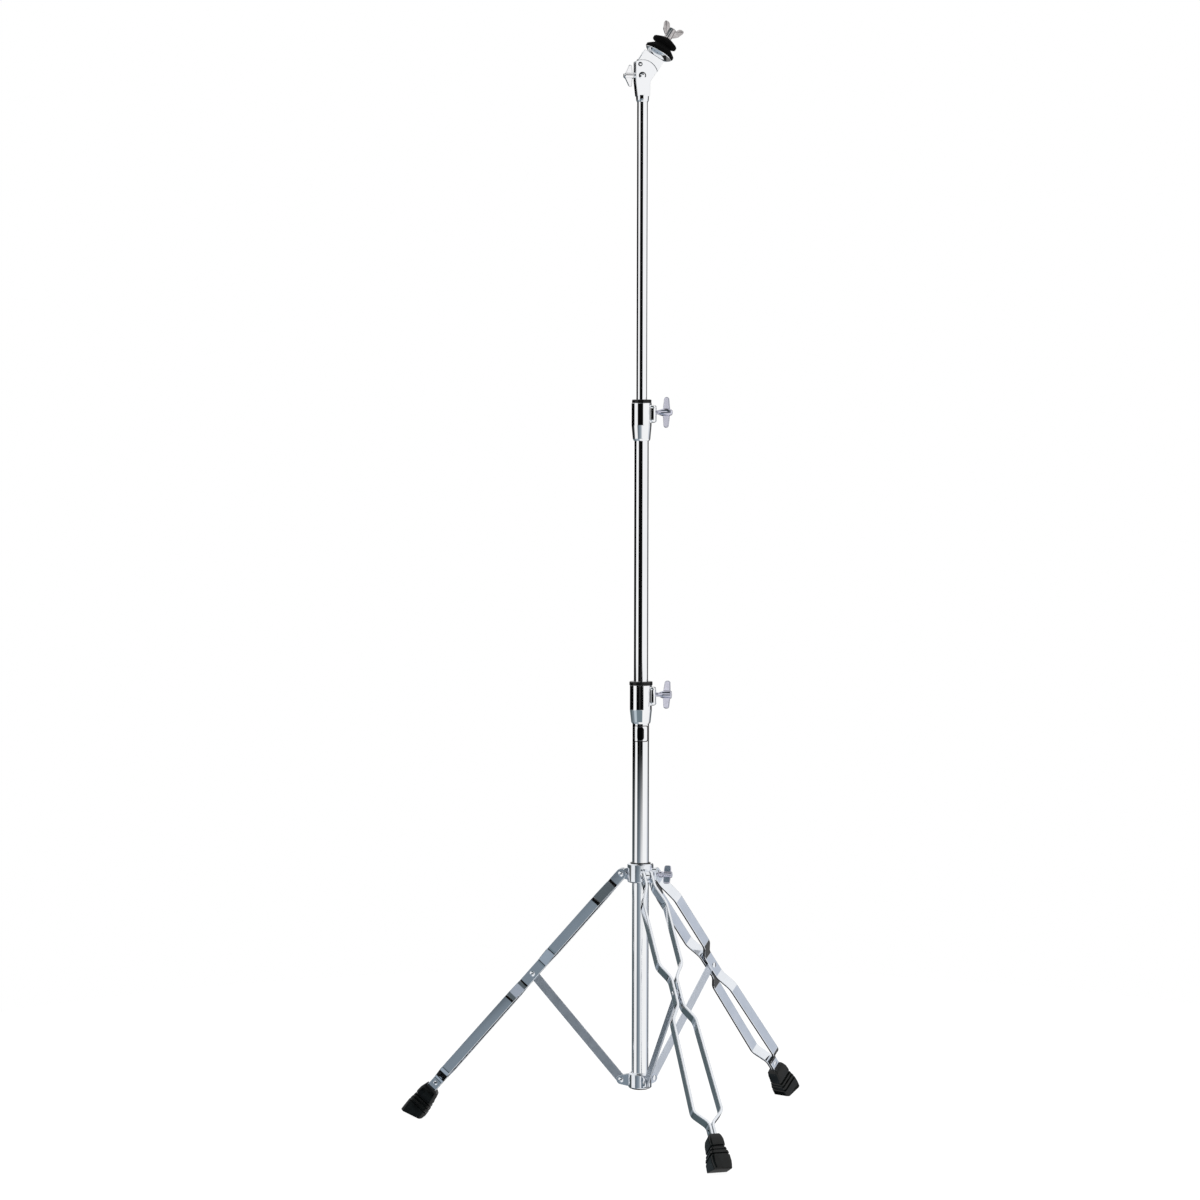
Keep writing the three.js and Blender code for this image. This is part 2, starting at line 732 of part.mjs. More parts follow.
// One strap of a leg, bent out twice and pinched together at the strut
function strap(side) {
  const end = legStation + strapInFoot;
  const path = [
    [-strapWidth, topHalfSpacing], [topStraight, topHalfSpacing],
    [upperBulgeStart, upperBulge / 2], [linkLength - upperBulgeEnd, upperBulge / 2],
    [linkLength - pinchAbove, pinchHalfSpacing], [linkLength + pinchBelow, pinchHalfSpacing],
    [linkLength + lowerBulgeStart, lowerBulge / 2], [legStation - lowerBulgeLift, ankleBulge / 2],
    [legStation - ankleLift, endHalfSpacing], [end, endHalfSpacing],
  ].map(([station, spacing]) => [station, side * spacing]);
  const half = strapWidth / 2;
  const band = slab(ribbon(rounded(path, strapBend, bendSteps, false), strapThickness), -half, half);
  const outline = new THREE.Shape();
  outline.moveTo(end, half);
  outline.lineTo(0, half);
  outline.absarc(0, 0, half, Math.PI / 2, Math.PI * 3 / 2, false);
  outline.lineTo(end, -half);
  const face = acrossLeg(slab(outline, -ankleBulge, ankleBulge));
  const holes = [
    legHole(rivetBore, 0), legHole(rivetBore, linkLength),
    legHole(endRivetRadius + seatGap, legStation - endRivetLift),
  ];
  return cut(common(band.rotateY(Math.PI / 2), face), ...holes);
}

const footSide = footSideShares.map(([along, across]) => [
  legStation + along * footLength, across * footDepth,
]);
const footDrops = footSide.map(([s, w]) => s * Math.cos(spread) - w * Math.sin(spread));
const floorZ = legPivotZ - Math.max(...footDrops) + footFlat;

// Rubber foot: a stepped side outline crossed with a stepped front outline, cut flat at the floor
function foot() {
  const side = acrossLeg(slab(footSide, -footWidth, footWidth));
  const half = footFrontShares.map(([along, across]) => [
    legStation + along * footLength, across * footWidth,
  ]);
  const front = [...half, ...half.map(([s, y]) => [s, -y]).reverse()];
  const body = common(side, slab(front, -footDepth, footDepth).rotateY(Math.PI / 2));
  const pocketX = strapWidth / 2 + seatGap;
  const pocketY = endHalfSpacing + strapThickness / 2 + seatGap;
  const pocketEnd = legStation + strapInFoot + seatGap;
  const pocket = block([-pocketX, pocketX], [-pocketY, pocketY], [-pocketEnd, cutOver - legStation]);
  const middle = (legStation + footLength / 2) * Math.sin(spread);
  const groundX = [middle - footLength, middle + footLength];
  const drop = floorZ - legPivotZ;
  const ground = block(groundX, [-footWidth, footWidth], [drop - footLength, drop]);
  return cut(body, pocket, ground.rotateY(spread));
}

function strut() {
  const half = strutWidth / 2;
  const outline = new THREE.Shape();
  outline.absarc(0, 0, half, Math.PI / 2, Math.PI * 3 / 2, false);
  outline.absarc(linkLength, 0, half, -Math.PI / 2, Math.PI / 2, false);
  const plate = slab(outline, -strutThickness / 2, strutThickness / 2);
  const way = cylinder(rivetBore, -cutOver, cutOver, boltSides);
  const holes = [0, linkLength].map((x) => way.clone().translate(x, 0, 0));
  const up = new THREE.Vector3(0, 0, 1);
  const outwards = new THREE.Vector3(1, 0, 0);
  const sideways = new THREE.Vector3(0, 1, 0);
  return cut(plate, ...holes).applyMatrix4(new THREE.Matrix4().makeBasis(up, outwards, sideways));
}

function addLeg(turn, number) {
  const side = groupAt(stand, 0, 0, 0);
  side.rotation.z = turn * degree;

  const low = groupAt(side, pivotRadius, 0, strutPivotZ);
  low.rotation.y = spread;
  add(low, 'strut_' + number, strut(), nickel);
  const fork = rivet(rivetRadius, rivetHeadRadius, rivetHeadHeight, forkOuter + seatGap);
  add(low, 'strut_rivet_' + number, fork, nickel);

  const leg = groupAt(side, pivotRadius, 0, legPivotZ);
  leg.rotation.y = -spread;
  const prefix = 'leg_' + number;
  add(leg, prefix + '_strap_a', strap(1), nickel);
  add(leg, prefix + '_strap_b', strap(-1), nickel);
  add(leg, 'foot_' + number, foot(), rubber);
  const topSpan = topHalfSpacing + strapThickness / 2 + seatGap;
  const pinchSpan = pinchHalfSpacing + strapThickness / 2 + seatGap;
  const endSpan = endHalfSpacing + strapThickness / 2 + seatGap;
  const pivot = rivet(rivetRadius, rivetHeadRadius, rivetHeadHeight, topSpan);
  const middle = rivet(rivetRadius, rivetHeadRadius, rivetHeadHeight, pinchSpan);
  const end = rivet(endRivetRadius, endRivetHeadRadius, rivetHeadHeight, endSpan);
  add(leg, prefix + '_pivot_rivet', pivot, nickel);
  add(leg, prefix + '_mid_rivet', middle.translate(0, 0, -linkLength), nickel);
  add(leg, prefix + '_end_rivet', end.translate(0, 0, endRivetLift - legStation), nickel);
}

// Tilter base with the ways for its pivot pin and its lock bolt
function tilterBase() {
  const shoulder = yokeFloor + yokeShoulder;
  const cheekOuter = cheekInner + cheekThickness;
  const backAngle = Math.acos((-yokeBack - pivotOffset) / yokeTopRadius);
  const outline = new THREE.Shape();
  outline.moveTo(yokeFoot, 0);
  outline.lineTo(yokeFront, shoulder);
  outline.absarc(pivotOffset, pivotHeight, yokeTopRadius, yokeTopAngle * degree, backAngle, false);
  outline.lineTo(-yokeBack, shoulder);
  outline.lineTo(-yokeFoot, 0);
  const reach = yokeTopRadius + cutOver;
  const slotTop = pivotHeight + reach;
  const between = [-cheekInner, cheekInner];
  const frontSlot = block([webThickness - yokeBack, reach], between, [yokeFloor, slotTop]);
  const topSlot = block([-reach, reach], between, [pivotHeight + webTop, slotTop]);
  const bossFace = -yokeBack - lockBossReach;
  const lockBoss = lyingAlongX(cylinder(lockBossRadius, bossFace, -yokeBack, boltSides));
  const stopFace = -cheekOuter - stopBossHeight;
  const stopBoss = lyingAlongY(cylinder(stopBossRadius, stopFace, -cheekOuter, boltSides));
  const neck = revolve([
    [0, -neckHeight], [neckRadius - neckEdge, -neckHeight], [neckRadius, neckEdge - neckHeight],
    [neckRadius, neckShoulder], [0, neckShoulder],
  ], tubeSides);
  const bore = cylinder(upperTubeRadius + seatGap, -neckHeight - cutOver, 0, tubeSides);
  const pinRadius = pivotPinRadius + seatGap;
  const pinWay = lyingAlongY(cylinder(pinRadius, stopFace - cutOver, cheekOuter + cutOver, boltSides));
  const lockEnd = webThickness + seatGap - yokeBack;
  const lockWay = hole(lockBoltRadius + seatGap, bossFace - cutOver, lockEnd, pivotHeight);
  const yoke = cut(upright(outline, -cheekOuter, cheekOuter), frontSlot, topSlot);
  const solid = join(
    yoke, neck,
    lockBoss.translate(0, 0, pivotHeight),
    stopBoss.translate(pivotOffset - stopBossBack, 0, pivotHeight + stopBossLift),
  );
  return cut(solid, bore, pinWay.translate(pivotOffset, 0, pivotHeight), lockWay);
}

function tiltingHead() {
  const side = Math.sqrt(heelRadius ** 2 - heelShoulder ** 2);
  const heelAngle = Math.asin(heelShoulder / heelRadius);
  const outline = new THREE.Shape();
  outline.moveTo(side, heelShoulder);
  outline.lineTo(headHalfWidth, headShoulder);
  outline.lineTo(headHalfWidth, headTop);
  outline.lineTo(-headHalfWidth, headTop);
  outline.lineTo(-headBackWidth, headShoulder);
  outline.lineTo(-side, heelShoulder);
  outline.absarc(0, 0, heelRadius, Math.PI - heelAngle, Math.PI * 2 + heelAngle, false);
  const half = cheekInner - seatGap;
  const wide = headBlockHalfThickness;
  const top = block([-headHalfWidth, headHalfWidth], [-wide, wide], [headBlockStart, headTop]);
  const rodFloor = headTop - rodRoot - seatGap;
  const rodWay = cylinder(rodRadius + seatGap, rodFloor, headTop + cutOver, boltSides);
  const pinRadius = pivotPinRadius + seatGap;
  const pinWay = lyingAlongY(cylinder(pinRadius, -half - cutOver, half + cutOver, boltSides));
  return cut(join(upright(outline, -half, half), top), rodWay.translate(rodOffset, 0, 0), pinWay);
}

function addTilter() {
  const tilter = groupAt(stand, 0, 0, upperTubeTop + seatGap);
  tilter.rotation.z = tilterTurn * degree;
  add(tilter, 'tilter_base', tilterBase(), chrome);
  const pivot = groupAt(tilter, pivotOffset, 0, pivotHeight);
  const pinSpan = cheekInner + cheekThickness + seatGap;
  add(pivot, 'tilter_pivot_pin', rivet(pivotPinRadius, pivotHeadRadius, pivotHeadHeight, pinSpan), chrome);

  const lock = groupAt(tilter, 0, 0, pivotHeight);
  lock.rotation.z = Math.PI;
  const padFace = heelRadius - pivotOffset + seatGap;
  const padBack = padFace + lockPadThickness;
  add(lock, 'tilter_lock_pad', lyingAlongX(cylinder(lockPadRadius, padFace, padBack, boltSides)), nylon);
  add(lock, 'tilter_wing_bolt', knobBolt({
    start: padBack + seatGap,
    face: yokeBack + lockBossReach,
    boltRadius: lockBoltRadius,
    reach: lockKnobReach,
    knobRadius: lockKnobRadius,
    knobShares: lockKnobShares,
    halfSpan: lockWingHalfSpan,
    wingShares: lockWingShares,
    turn: 0,
  }), zinc);

  const head = groupAt(pivot, 0, 0, 0);
  head.rotation.y = headTilt * degree;
  add(head, 'tilter_head', tiltingHead(), chrome);
  addSeat(groupAt(head, rodOffset, 0, 0));
}

// Rod, cup, sleeve, felts and wing nut, all turned about the rod
function addSeat(seat) {
  const rodEdge = rodRadius / 5;
  add(seat, 'cymbal_rod', revolve([
    [0, headTop - rodRoot], [rodRadius, headTop - rodRoot], [rodRadius, rodTop - rodEdge],
    [rodRadius - rodEdge, rodTop], [0, rodTop],
  ], boltSides), chrome);

  const bore = rodRadius + seatGap;
  const cupBottom = headTop + seatGap;
  const cupFloor = cupBottom + cupThickness;
  const cupRim = cupFloor + cupRise;
  add(seat, 'seat_cup', revolve([
    [bore, cupBottom], [cupFloorRadius, cupBottom], [cupRimRadius, cupBottom + cupRise],
    [cupRimRadius, cupRim], [cupFloorRadius - cupThickness / 3, cupFloor], [bore, cupFloor],
  ], tubeSides), chrome);

  const sleeveBottom = cupFloor + seatGap;
  const sleeveRadius = bore + sleeveWall;
  add(seat, 'cymbal_sleeve', revolve([
    [bore, sleeveBottom], [sleeveRadius, sleeveBottom],
    [sleeveRadius, sleeveBottom + sleeveLength], [bore, sleeveBottom + sleeveLength],
  ], boltSides), nylon);

  const feltBore = sleeveRadius + seatGap;
  const rimBottom = cupRim + seatGap;
  const rimTop = rimBottom + lowerFeltRim;
  const lowerTop = rimTop + lowerFeltCone;
  add(seat, 'lower_felt', revolve([
    [feltBore, sleeveBottom], [cupFloorRadius - cupThickness, sleeveBottom], [cupRimRadius, rimBottom],
    [lowerFeltRadius, rimBottom], [lowerFeltRadius, rimTop], [feltNeckRadius, lowerTop], [feltBore, lowerTop],
  ], tubeSides), felt);

  const upperBottom = lowerTop + seatGap;
  const upperRim = upperBottom + upperFeltUnder;
  const upperTop = upperRim + upperFeltRim + upperFeltCone;
  add(seat, 'upper_felt', revolve([
    [feltBore, upperBottom], [feltNeckRadius, upperBottom], [upperFeltRadius, upperRim],
    [upperFeltRadius, upperRim + upperFeltRim], [upperFeltTopRadius, upperTop], [feltBore, upperTop],
  ], tubeSides), felt);

  const nutBottom = upperTop + seatGap;
  const nutTop = nutBottom + nutHeight;
  const hub = revolve([
    [bore, nutBottom], [nutHubRadius, nutBottom], [nutHubRadius, nutTop], [bore, nutTop],
  ], boltSides);
  const wing = nutWingShares.map(([across, up]) => [across * nutWingHalfSpan, nutBottom + up * nutWingTop]);
  const mirrored = wing.map(([across, up]) => [-across, up]);
  const half = nutWingThickness / 2;
  const wings = [wing, mirrored].map((outline) => {
    return upright(rounded(outline, wingCorner, cornerSteps, true), -half, half);
  });
  const threadWay = cylinder(bore, nutBottom - cutOver, nutTop + cutOver, boltSides);
  add(seat, 'wing_nut', cut(join(hub, ...wings), threadWay), zinc);
}

addBase();
addStrutCollar();
addClamps();
addSlidingTubes();
addLegCollar();
legTurns.forEach((turn, index) => addLeg(turn, index + 1));
addTilter();

export default stand;
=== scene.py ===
import json
import math
import bpy
import bmesh
from mathutils import Matrix, Vector


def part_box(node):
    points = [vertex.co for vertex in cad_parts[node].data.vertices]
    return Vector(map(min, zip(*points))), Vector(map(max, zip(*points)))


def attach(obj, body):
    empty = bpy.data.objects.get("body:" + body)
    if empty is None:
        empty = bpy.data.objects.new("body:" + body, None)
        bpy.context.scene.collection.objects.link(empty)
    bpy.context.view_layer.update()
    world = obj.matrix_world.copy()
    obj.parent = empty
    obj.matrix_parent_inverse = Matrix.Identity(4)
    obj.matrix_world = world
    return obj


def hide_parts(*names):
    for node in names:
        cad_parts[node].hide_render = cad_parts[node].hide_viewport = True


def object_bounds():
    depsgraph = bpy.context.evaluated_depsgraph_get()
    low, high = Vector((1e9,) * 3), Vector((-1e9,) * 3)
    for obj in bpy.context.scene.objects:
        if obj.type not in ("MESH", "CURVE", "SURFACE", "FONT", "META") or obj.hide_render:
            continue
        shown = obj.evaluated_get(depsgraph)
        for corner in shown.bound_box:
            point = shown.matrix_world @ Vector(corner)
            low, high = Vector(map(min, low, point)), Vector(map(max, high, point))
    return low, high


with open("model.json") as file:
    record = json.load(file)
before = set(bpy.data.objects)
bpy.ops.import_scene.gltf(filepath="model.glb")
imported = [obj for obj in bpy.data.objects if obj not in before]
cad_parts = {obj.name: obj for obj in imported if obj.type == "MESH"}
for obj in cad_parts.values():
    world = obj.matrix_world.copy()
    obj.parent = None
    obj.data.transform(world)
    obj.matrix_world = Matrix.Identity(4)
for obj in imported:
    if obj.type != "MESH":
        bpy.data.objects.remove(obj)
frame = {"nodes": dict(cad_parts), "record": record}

mm = 0.001
weld = 0.002  # corners nearer than this become one, in millimetres
smoothAngle = math.radians(32)  # edges that turn by more stay sharp
bladeRounding = 0.36  # of a wing's thickness
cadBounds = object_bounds()
record = frame["record"]
joints = {joint["name"]: joint for joint in record["behaviour"]["joints"]}
bodyOf = {node: body for body, group in record["behaviour"]["bodies"].items() for node in group}
slotOf = {part["node"]: part["material_slot"] for part in record["subparts"]}


def span(node):  # lowest and highest corner of a CAD node, in millimetres
    low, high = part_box(node)
    return Vector(low) / mm, Vector(high) / mm


def spot(joint):  # a hinge's point, in millimetres
    return Vector(joints[joint]["pos_m"]) / mm


class Wire:
    # one output socket; sums, products and other maths on it add their Math nodes
    def __init__(self, graph, socket):
        self.graph = graph
        self.socket = socket

    def math(self, operation, *others):
        return self.graph.add("ShaderNodeMath", {"operation": operation}, [self, *others])

    def __add__(self, other):
        return self.math("ADD", other)

    def __sub__(self, other):
        return self.math("SUBTRACT", other)

    def __rsub__(self, other):
        return self.graph.add("ShaderNodeMath", {"operation": "SUBTRACT"}, [other, self])

    def __mul__(self, other):
        return self.math("MULTIPLY", other)

    def __abs__(self):
        return self.math("ABSOLUTE")

    __radd__ = __add__
    __rmul__ = __mul__


class Graph:
    def __init__(self, owner):
        owner.use_nodes = True
        self.tree = owner.node_tree
        self.tree.nodes.clear()

    # a node from its type, its settings and its inputs, by place or by name
    def add(self, kind, settings=None, inputs=(), output=0):
        node = self.tree.nodes.new(kind)
        for setting, value in (settings or {}).items():
            if setting == "stops":
                ramp = node.color_ramp
                while len(ramp.elements) < len(value):
                    ramp.elements.new(0.5)
                for element, (place, color) in zip(ramp.elements, value):
                    element.position = place
                    element.color = color
            else:
                setattr(node, setting, value)
        named = inputs.items() if isinstance(inputs, dict) else enumerate(inputs)
        for socket, value in named:
            if isinstance(value, Wire):
                self.tree.links.new(value.socket, node.inputs[socket])
            else:
                node.inputs[socket].default_value = value
        return Wire(self, node.outputs[output]) if node.outputs else None

    def place(self):
        return self.add("ShaderNodeTexCoord", output="Object")

    def split(self, vector):  # its three numbers
        parts = self.add("ShaderNodeSeparateXYZ", {}, [vector])
        return [Wire(self, output) for output in parts.socket.node.outputs]

    def spread(self, value, low, high):  # 0 at low, 1 at high, and level beyond them
        return self.add("ShaderNodeMapRange", {}, {"Value": value, "From Min": low, "From Max": high})

    def noise(self, size, detail=3, stretch=(1, 1, 1)):  # size of one patch in millimetres
        grid = self.add("ShaderNodeMapping", {}, {"Vector": self.place(), "Scale": stretch})
        return self.add("ShaderNodeTexNoise", {}, {
            "Vector": grid, "Scale": 1 / (size * mm), "Detail": detail,
        })

    def ramp(self, value, stops):
        return self.add("ShaderNodeValToRGB", {"stops": stops}, {"Fac": value})

    def blend(self, factor, first, second):  # of two colours, on the sockets for colours
        return self.add("ShaderNodeMix", {"data_type": "RGBA"}, {0: factor, 6: first, 7: second}, output=2)

    def bump(self, height, depth):  # depth in millimetres
        return self.add("ShaderNodeBump", {}, {"Height": height, "Distance": depth * mm, "Strength": 1.0})

    def surface(self, inputs):
        shader = self.add("ShaderNodeBsdfPrincipled", {}, inputs)
        self.add("ShaderNodeOutputMaterial", {}, {"Surface": shader})

    def rays(self):  # 1 on what the camera sees itself, and 1 on what it sees in bright surfaces
        path = self.add("ShaderNodeLightPath")
        return [Wire(self, path.socket.node.outputs[kind]) for kind in ("Is Camera Ray", "Is Glossy Ray")]


def grey(level):
    return (level, level, level, 1)


def mixed(first, second, share=0.6):  # weighted mean of two patterns
    return first * share + second * (1 - share)


def chromePlate(name, look):
    material = bpy.data.materials.new(name)
    graph = Graph(material)
    smears = graph.noise(look["smearSize"], detail=4, stretch=look["stretch"])
    tone = graph.ramp(smears, [(0.3, look["tone"]), (0.75, look["highTone"])])
    graph.surface({
        "Base Color": tone, "Metallic": 1.0, "Roughness": look["roughness"] + smears * look["smear"],
        "Normal": graph.bump(smears, look["ripple"]),
    })
    return material


def satinMetal(name, look):
    material = bpy.data.materials.new(name)
    graph = Graph(material)
    cloud = graph.noise(look["cloudSize"], detail=4)
    grain = graph.noise(look["grainSize"], stretch=look["stretch"])
    tone = graph.ramp(mixed(cloud, grain), [(0.35, look["tone"]), (0.7, look["highTone"])])
    graph.surface({
        "Base Color": tone, "Metallic": 1.0,
        "Roughness": look["roughness"] + (cloud - 0.5) * look["cloud"] + (grain - 0.5) * look["grain"],
        "Normal": graph.bump(grain, look["depth"]),
    })
    return material


def mouldedPlastic(name, look):
    material = bpy.data.materials.new(name)
    graph = Graph(material)
    skin = graph.noise(look["skinSize"], detail=5)
    dust = graph.noise(look["dustSize"], detail=6)
    graph.surface({
        "Base Color": graph.ramp(dust, [(0.45, look["tone"]), (0.8, look["dustTone"])]),
        "Roughness": look["roughness"] + (skin - 0.5) * look["skin"],
        "Specular IOR Level": look["gloss"], "Normal": graph.bump(skin, look["depth"]),
    })
    return material


def pressedFelt(name, look):
    material = bpy.data.materials.new(name)
    graph = Graph(material)
    fibre = graph.noise(look["fibreSize"], detail=8)
    tuft = graph.noise(look["tuftSize"], detail=4)
    graph.surface({
        "Base Color": graph.ramp(mixed(fibre, tuft), [(0.35, look["tone"]), (0.7, look["fibreTone"])]),
        "Roughness": look["roughness"] + tuft * look["tuft"], "Specular IOR Level": look["gloss"],
        "Sheen Weight": look["sheen"], "Sheen Roughness": 0.5, "Normal": graph.bump(fibre, look["depth"]),
    })
    return material


def labelFoil(name, look):  # a dark panel with round corners inside a bright border
    low, high = span("blank_label")
    middle = (low + high) / 2
    material = bpy.data.materials.new(name)
    graph = Graph(material)
    facing = math.atan2(middle.y, middle.x)
    onLabel = graph.add("ShaderNodeMapping", {}, {
        "Vector": graph.place(), "Rotation": (0, 0, -facing), "Location": (0, 0, -middle.z * mm),
    })
    across, up = graph.split(onLabel)[1:]

    def beyond(width, height, corner):  # 0 inside a rectangle with round corners, 1 outside it
        beside = (abs(across * (1 / mm)) - (width / 2 - corner)).math("MAXIMUM", 0.0)
        above = (abs(up * (1 / mm)) - (height / 2 - corner)).math("MAXIMUM", 0.0)
        return graph.spread(beside * beside + above * above, corner ** 2, (corner + look["soft"]) ** 2)

    inset = 2 * look["line"]
    onPanel = beyond(look["panelWidth"], look["panelHeight"], look["corner"])
    onLine = beyond(look["width"] - inset, high.z - low.z - inset, look["lineCorner"])
    wear = graph.noise(look["wearSize"], detail=5)
    panel = graph.ramp(wear, [(0.3, look["panel"]), (0.7, look["panelWear"])])
    border = graph.ramp(wear, [(0.3, look["border"]), (0.7, look["borderWear"])])
    plain = graph.blend(onPanel, panel, border)
    graph.surface({
        "Base Color": graph.blend(onLine, plain, look["lineTone"]), "Metallic": 1.0,
        "Roughness": look["roughness"] + wear * look["wear"],
    })
    return material


polish = {"smearSize": 30, "stretch": (1, 1, 0.25), "roughness": 0.01, "smear": 0.03}
bright = chromePlate("brightChrome", polish | {
    "tone": (0.84, 0.85, 0.87, 1), "highTone": (0.93, 0.94, 0.95, 1), "ripple": 0.002,
})
nickel = satinMetal("satinNickel", {
    "tone": (0.76, 0.79, 0.83, 1), "highTone": (0.86, 0.88, 0.92, 1), "cloudSize": 26, "grainSize": 1.2,
    "stretch": (1, 1, 0.2), "roughness": 0.07, "cloud": 0.04, "grain": 0.03, "depth": 0.002,
})
# the struts' nickel: its higher roughness is their duller finish, and its darker tone is painted shade for
# how the struts catch the light
dullShadedNickel = satinMetal("dullShadedNickel", {
    "tone": (0.58, 0.62, 0.68, 1), "highTone": (0.66, 0.70, 0.77, 1), "cloudSize": 20, "grainSize": 1.2,
    "stretch": (1, 1, 0.2), "roughness": 0.36, "cloud": 0.1, "grain": 0.05, "depth": 0.003,
})
zinc = satinMetal("castZinc", {
    "tone": (0.50, 0.50, 0.58, 1), "highTone": (0.68, 0.68, 0.78, 1), "cloudSize": 6, "grainSize": 0.9,
    "stretch": (1, 1, 1), "roughness": 0.15, "cloud": 0.1, "grain": 0.05, "depth": 0.006,
})
paleZinc = satinMetal("paleZinc", {
    "tone": (0.86, 0.86, 0.87, 1), "highTone": (0.94, 0.94, 0.95, 1), "cloudSize": 8, "grainSize": 0.9,
    "stretch": (1, 1, 1), "roughness": 0.08, "cloud": 0.06, "grain": 0.03, "depth": 0.003,
})
darkZinc = satinMetal("darkZinc", {
    "tone": (0.30, 0.28, 0.28, 1), "highTone": (0.72, 0.69, 0.69, 1), "cloudSize": 3, "grainSize": 0.8,
    "stretch": (1, 1, 1), "roughness": 0.14, "cloud": 0.12, "grain": 0.05, "depth": 0.01,
})
nylon = mouldedPlastic("blackNylon", {
    "tone": grey(0.002), "dustTone": grey(0.007), "skinSize": 1.2, "dustSize": 9,
    "roughness": 0.2, "skin": 0.08, "gloss": 0.3, "depth": 0.005,
})
rubber = mouldedPlastic("footRubber", {
    "tone": (0.0005, 0.0008, 0.0008, 1), "dustTone": (0.005, 0.007, 0.007, 1), "skinSize": 0.8,
    "dustSize": 14, "roughness": 0.22, "skin": 0.1, "gloss": 0.32, "depth": 0.02,
})
felt = pressedFelt("blackFelt", {
    "tone": grey(0.0005), "fibreTone": grey(0.003), "fibreSize": 0.5, "tuftSize": 3, "roughness": 0.84,
    "tuft": 0.1, "gloss": 0.06, "sheen": 0.01, "depth": 0.12,
})
foil = labelFoil("labelFoil", {
    "panel": grey(0.008), "panelWear": grey(0.03), "border": (0.84, 0.85, 0.87, 1),
    "borderWear": (0.93, 0.94, 0.95, 1), "panelWidth": 10, "panelHeight": 18.6, "corner": 3.6, "soft": 0.3,
    "wearSize": 7, "roughness": 0.05, "wear": 0.06, "width": 21.4, "line": 1.3, "lineCorner": 2,
    "lineTone": (0.05, 0.04, 0.04, 1),
})
finishOf = {
    "chrome": bright, "satin_nickel": nickel, "cast_zinc": zinc, "black_nylon": nylon,
    "foot_rubber": rubber, "black_felt": felt, "label_foil": foil,
}
for node, thing in frame["nodes"].items():
    thing.data.materials.clear()
    thing.data.materials.append(finishOf[slotOf[node]])
print("finishes ready")


def clearSelection():
    if bpy.context.object and bpy.context.object.mode != "OBJECT":
        bpy.ops.object.mode_set(mode="OBJECT")
    bpy.ops.object.select_all(action="DESELECT")


def takeUp(*pieces):  # selects these pieces alone, the first one active
    clearSelection()
    for piece in pieces:
        piece.select_set(True)
    bpy.context.view_layer.objects.active = pieces[0]


def pick(kind, test):  # selects the corners or edges of the open mesh whose middle passes
    bpy.ops.mesh.select_mode(type=kind)
    bpy.ops.mesh.select_all(action="DESELECT")
    mesh = bmesh.from_edit_mesh(bpy.context.object.data)
    for part in mesh.verts if kind == "VERT" else mesh.edges:
        corners = [part] if kind == "VERT" else part.verts
        middle = sum((corner.co for corner in corners), Vector()) / len(corners) / mm
        part.select_set(bool(test(middle)))
    mesh.select_flush_mode()
    bmesh.update_edit_mesh(bpy.context.object.data)


def drawLine(name, points):  # one vertex, extruded from point to point
    clearSelection()
    bpy.ops.mesh.primitive_plane_add(size=2 * mm, location=(0, 0, 0))
    piece = bpy.context.object
    piece.name = name
    bpy.ops.object.mode_set(mode="EDIT")
    bpy.ops.mesh.select_mode(type="VERT")
    bpy.ops.mesh.merge(type="CENTER")
    here = Vector((0, 0, 0))
    for number, point in enumerate(points):
        step = (Vector(point) - here) * mm
        if number == 0:
            bpy.ops.transform.translate(value=step)
        else:
            bpy.ops.mesh.extrude_vertices_move(TRANSFORM_OT_translate={"value": step})
        here = Vector(point)
    return piece


def leaveMesh():  # turns all faces outwards and ends the editing
    bpy.ops.mesh.select_all(action="SELECT")
    bpy.ops.mesh.normals_make_consistent(inside=False)
    bpy.ops.object.mode_set(mode="OBJECT")


def oblong(left, right, low, high):
    return [(left, low), (right, low), (right, high), (left, high)]


def spun(name, outline, sides=96):  # outline of (radius, height), turned about Z
    loop = outline if outline[0][0] == 0 else outline + outline[:1]  # closed unless it starts on the axis
    piece = drawLine(name, [(radius, 0, height) for radius, height in loop])
    bpy.ops.mesh.select_all(action="SELECT")
    bpy.ops.mesh.spin(steps=sides, angle=2 * math.pi, center=(0, 0, 0), axis=(0, 0, 1))
    bpy.ops.mesh.select_all(action="SELECT")
    bpy.ops.mesh.remove_doubles(threshold=weld * mm)
    leaveMesh()
    return piece


def plate(name, outline, thickness, corner=0, steps=4):  # outline of (x, z), thick along Y
    piece = drawLine(name, [(x, -thickness / 2, z) for x, z in outline])
    bpy.ops.mesh.select_all(action="SELECT")
    bpy.ops.mesh.edge_face_add()
    if corner:
        bpy.ops.mesh.bevel(offset=corner * mm, segments=steps, affect="VERTICES")
    bpy.ops.mesh.select_all(action="SELECT")
    bpy.ops.mesh.extrude_region_move(TRANSFORM_OT_translate={"value": (0, thickness * mm, 0)})
    leaveMesh()
    return piece


def modify(piece, kind, settings):  # adds a modifier to the active piece and applies it
    step = piece.modifiers.new(kind.title(), kind)
    for setting, value in settings.items():
        setattr(step, setting, value)
    bpy.ops.object.modifier_apply(modifier=step.name)


def soften(piece, width, steps=3, angle=28):  # rounds the edges that turn by more than the angle
    takeUp(piece)
    if width:
        modify(piece, "BEVEL", {
            "width": width * mm, "segments": steps, "limit_method": "ANGLE",
            "angle_limit": math.radians(angle),
        })
    bpy.ops.object.shade_smooth_by_angle(angle=smoothAngle)
    modify(piece, "WEIGHTED_NORMAL", {"keep_sharp": True})  # keeps long faces straight in reflections
    return piece


def settle(piece, *steps):  # moves a piece by the given matrices and puts its place in its mesh
    takeUp(piece)
    for step in steps:
        piece.matrix_world = step @ piece.matrix_world
    bpy.ops.object.transform_apply(location=True, rotation=True, scale=True)
    return piece


def joined(name, *pieces):
    takeUp(*pieces)
    bpy.ops.object.join()
    pieces[0].name = name
    return pieces[0]


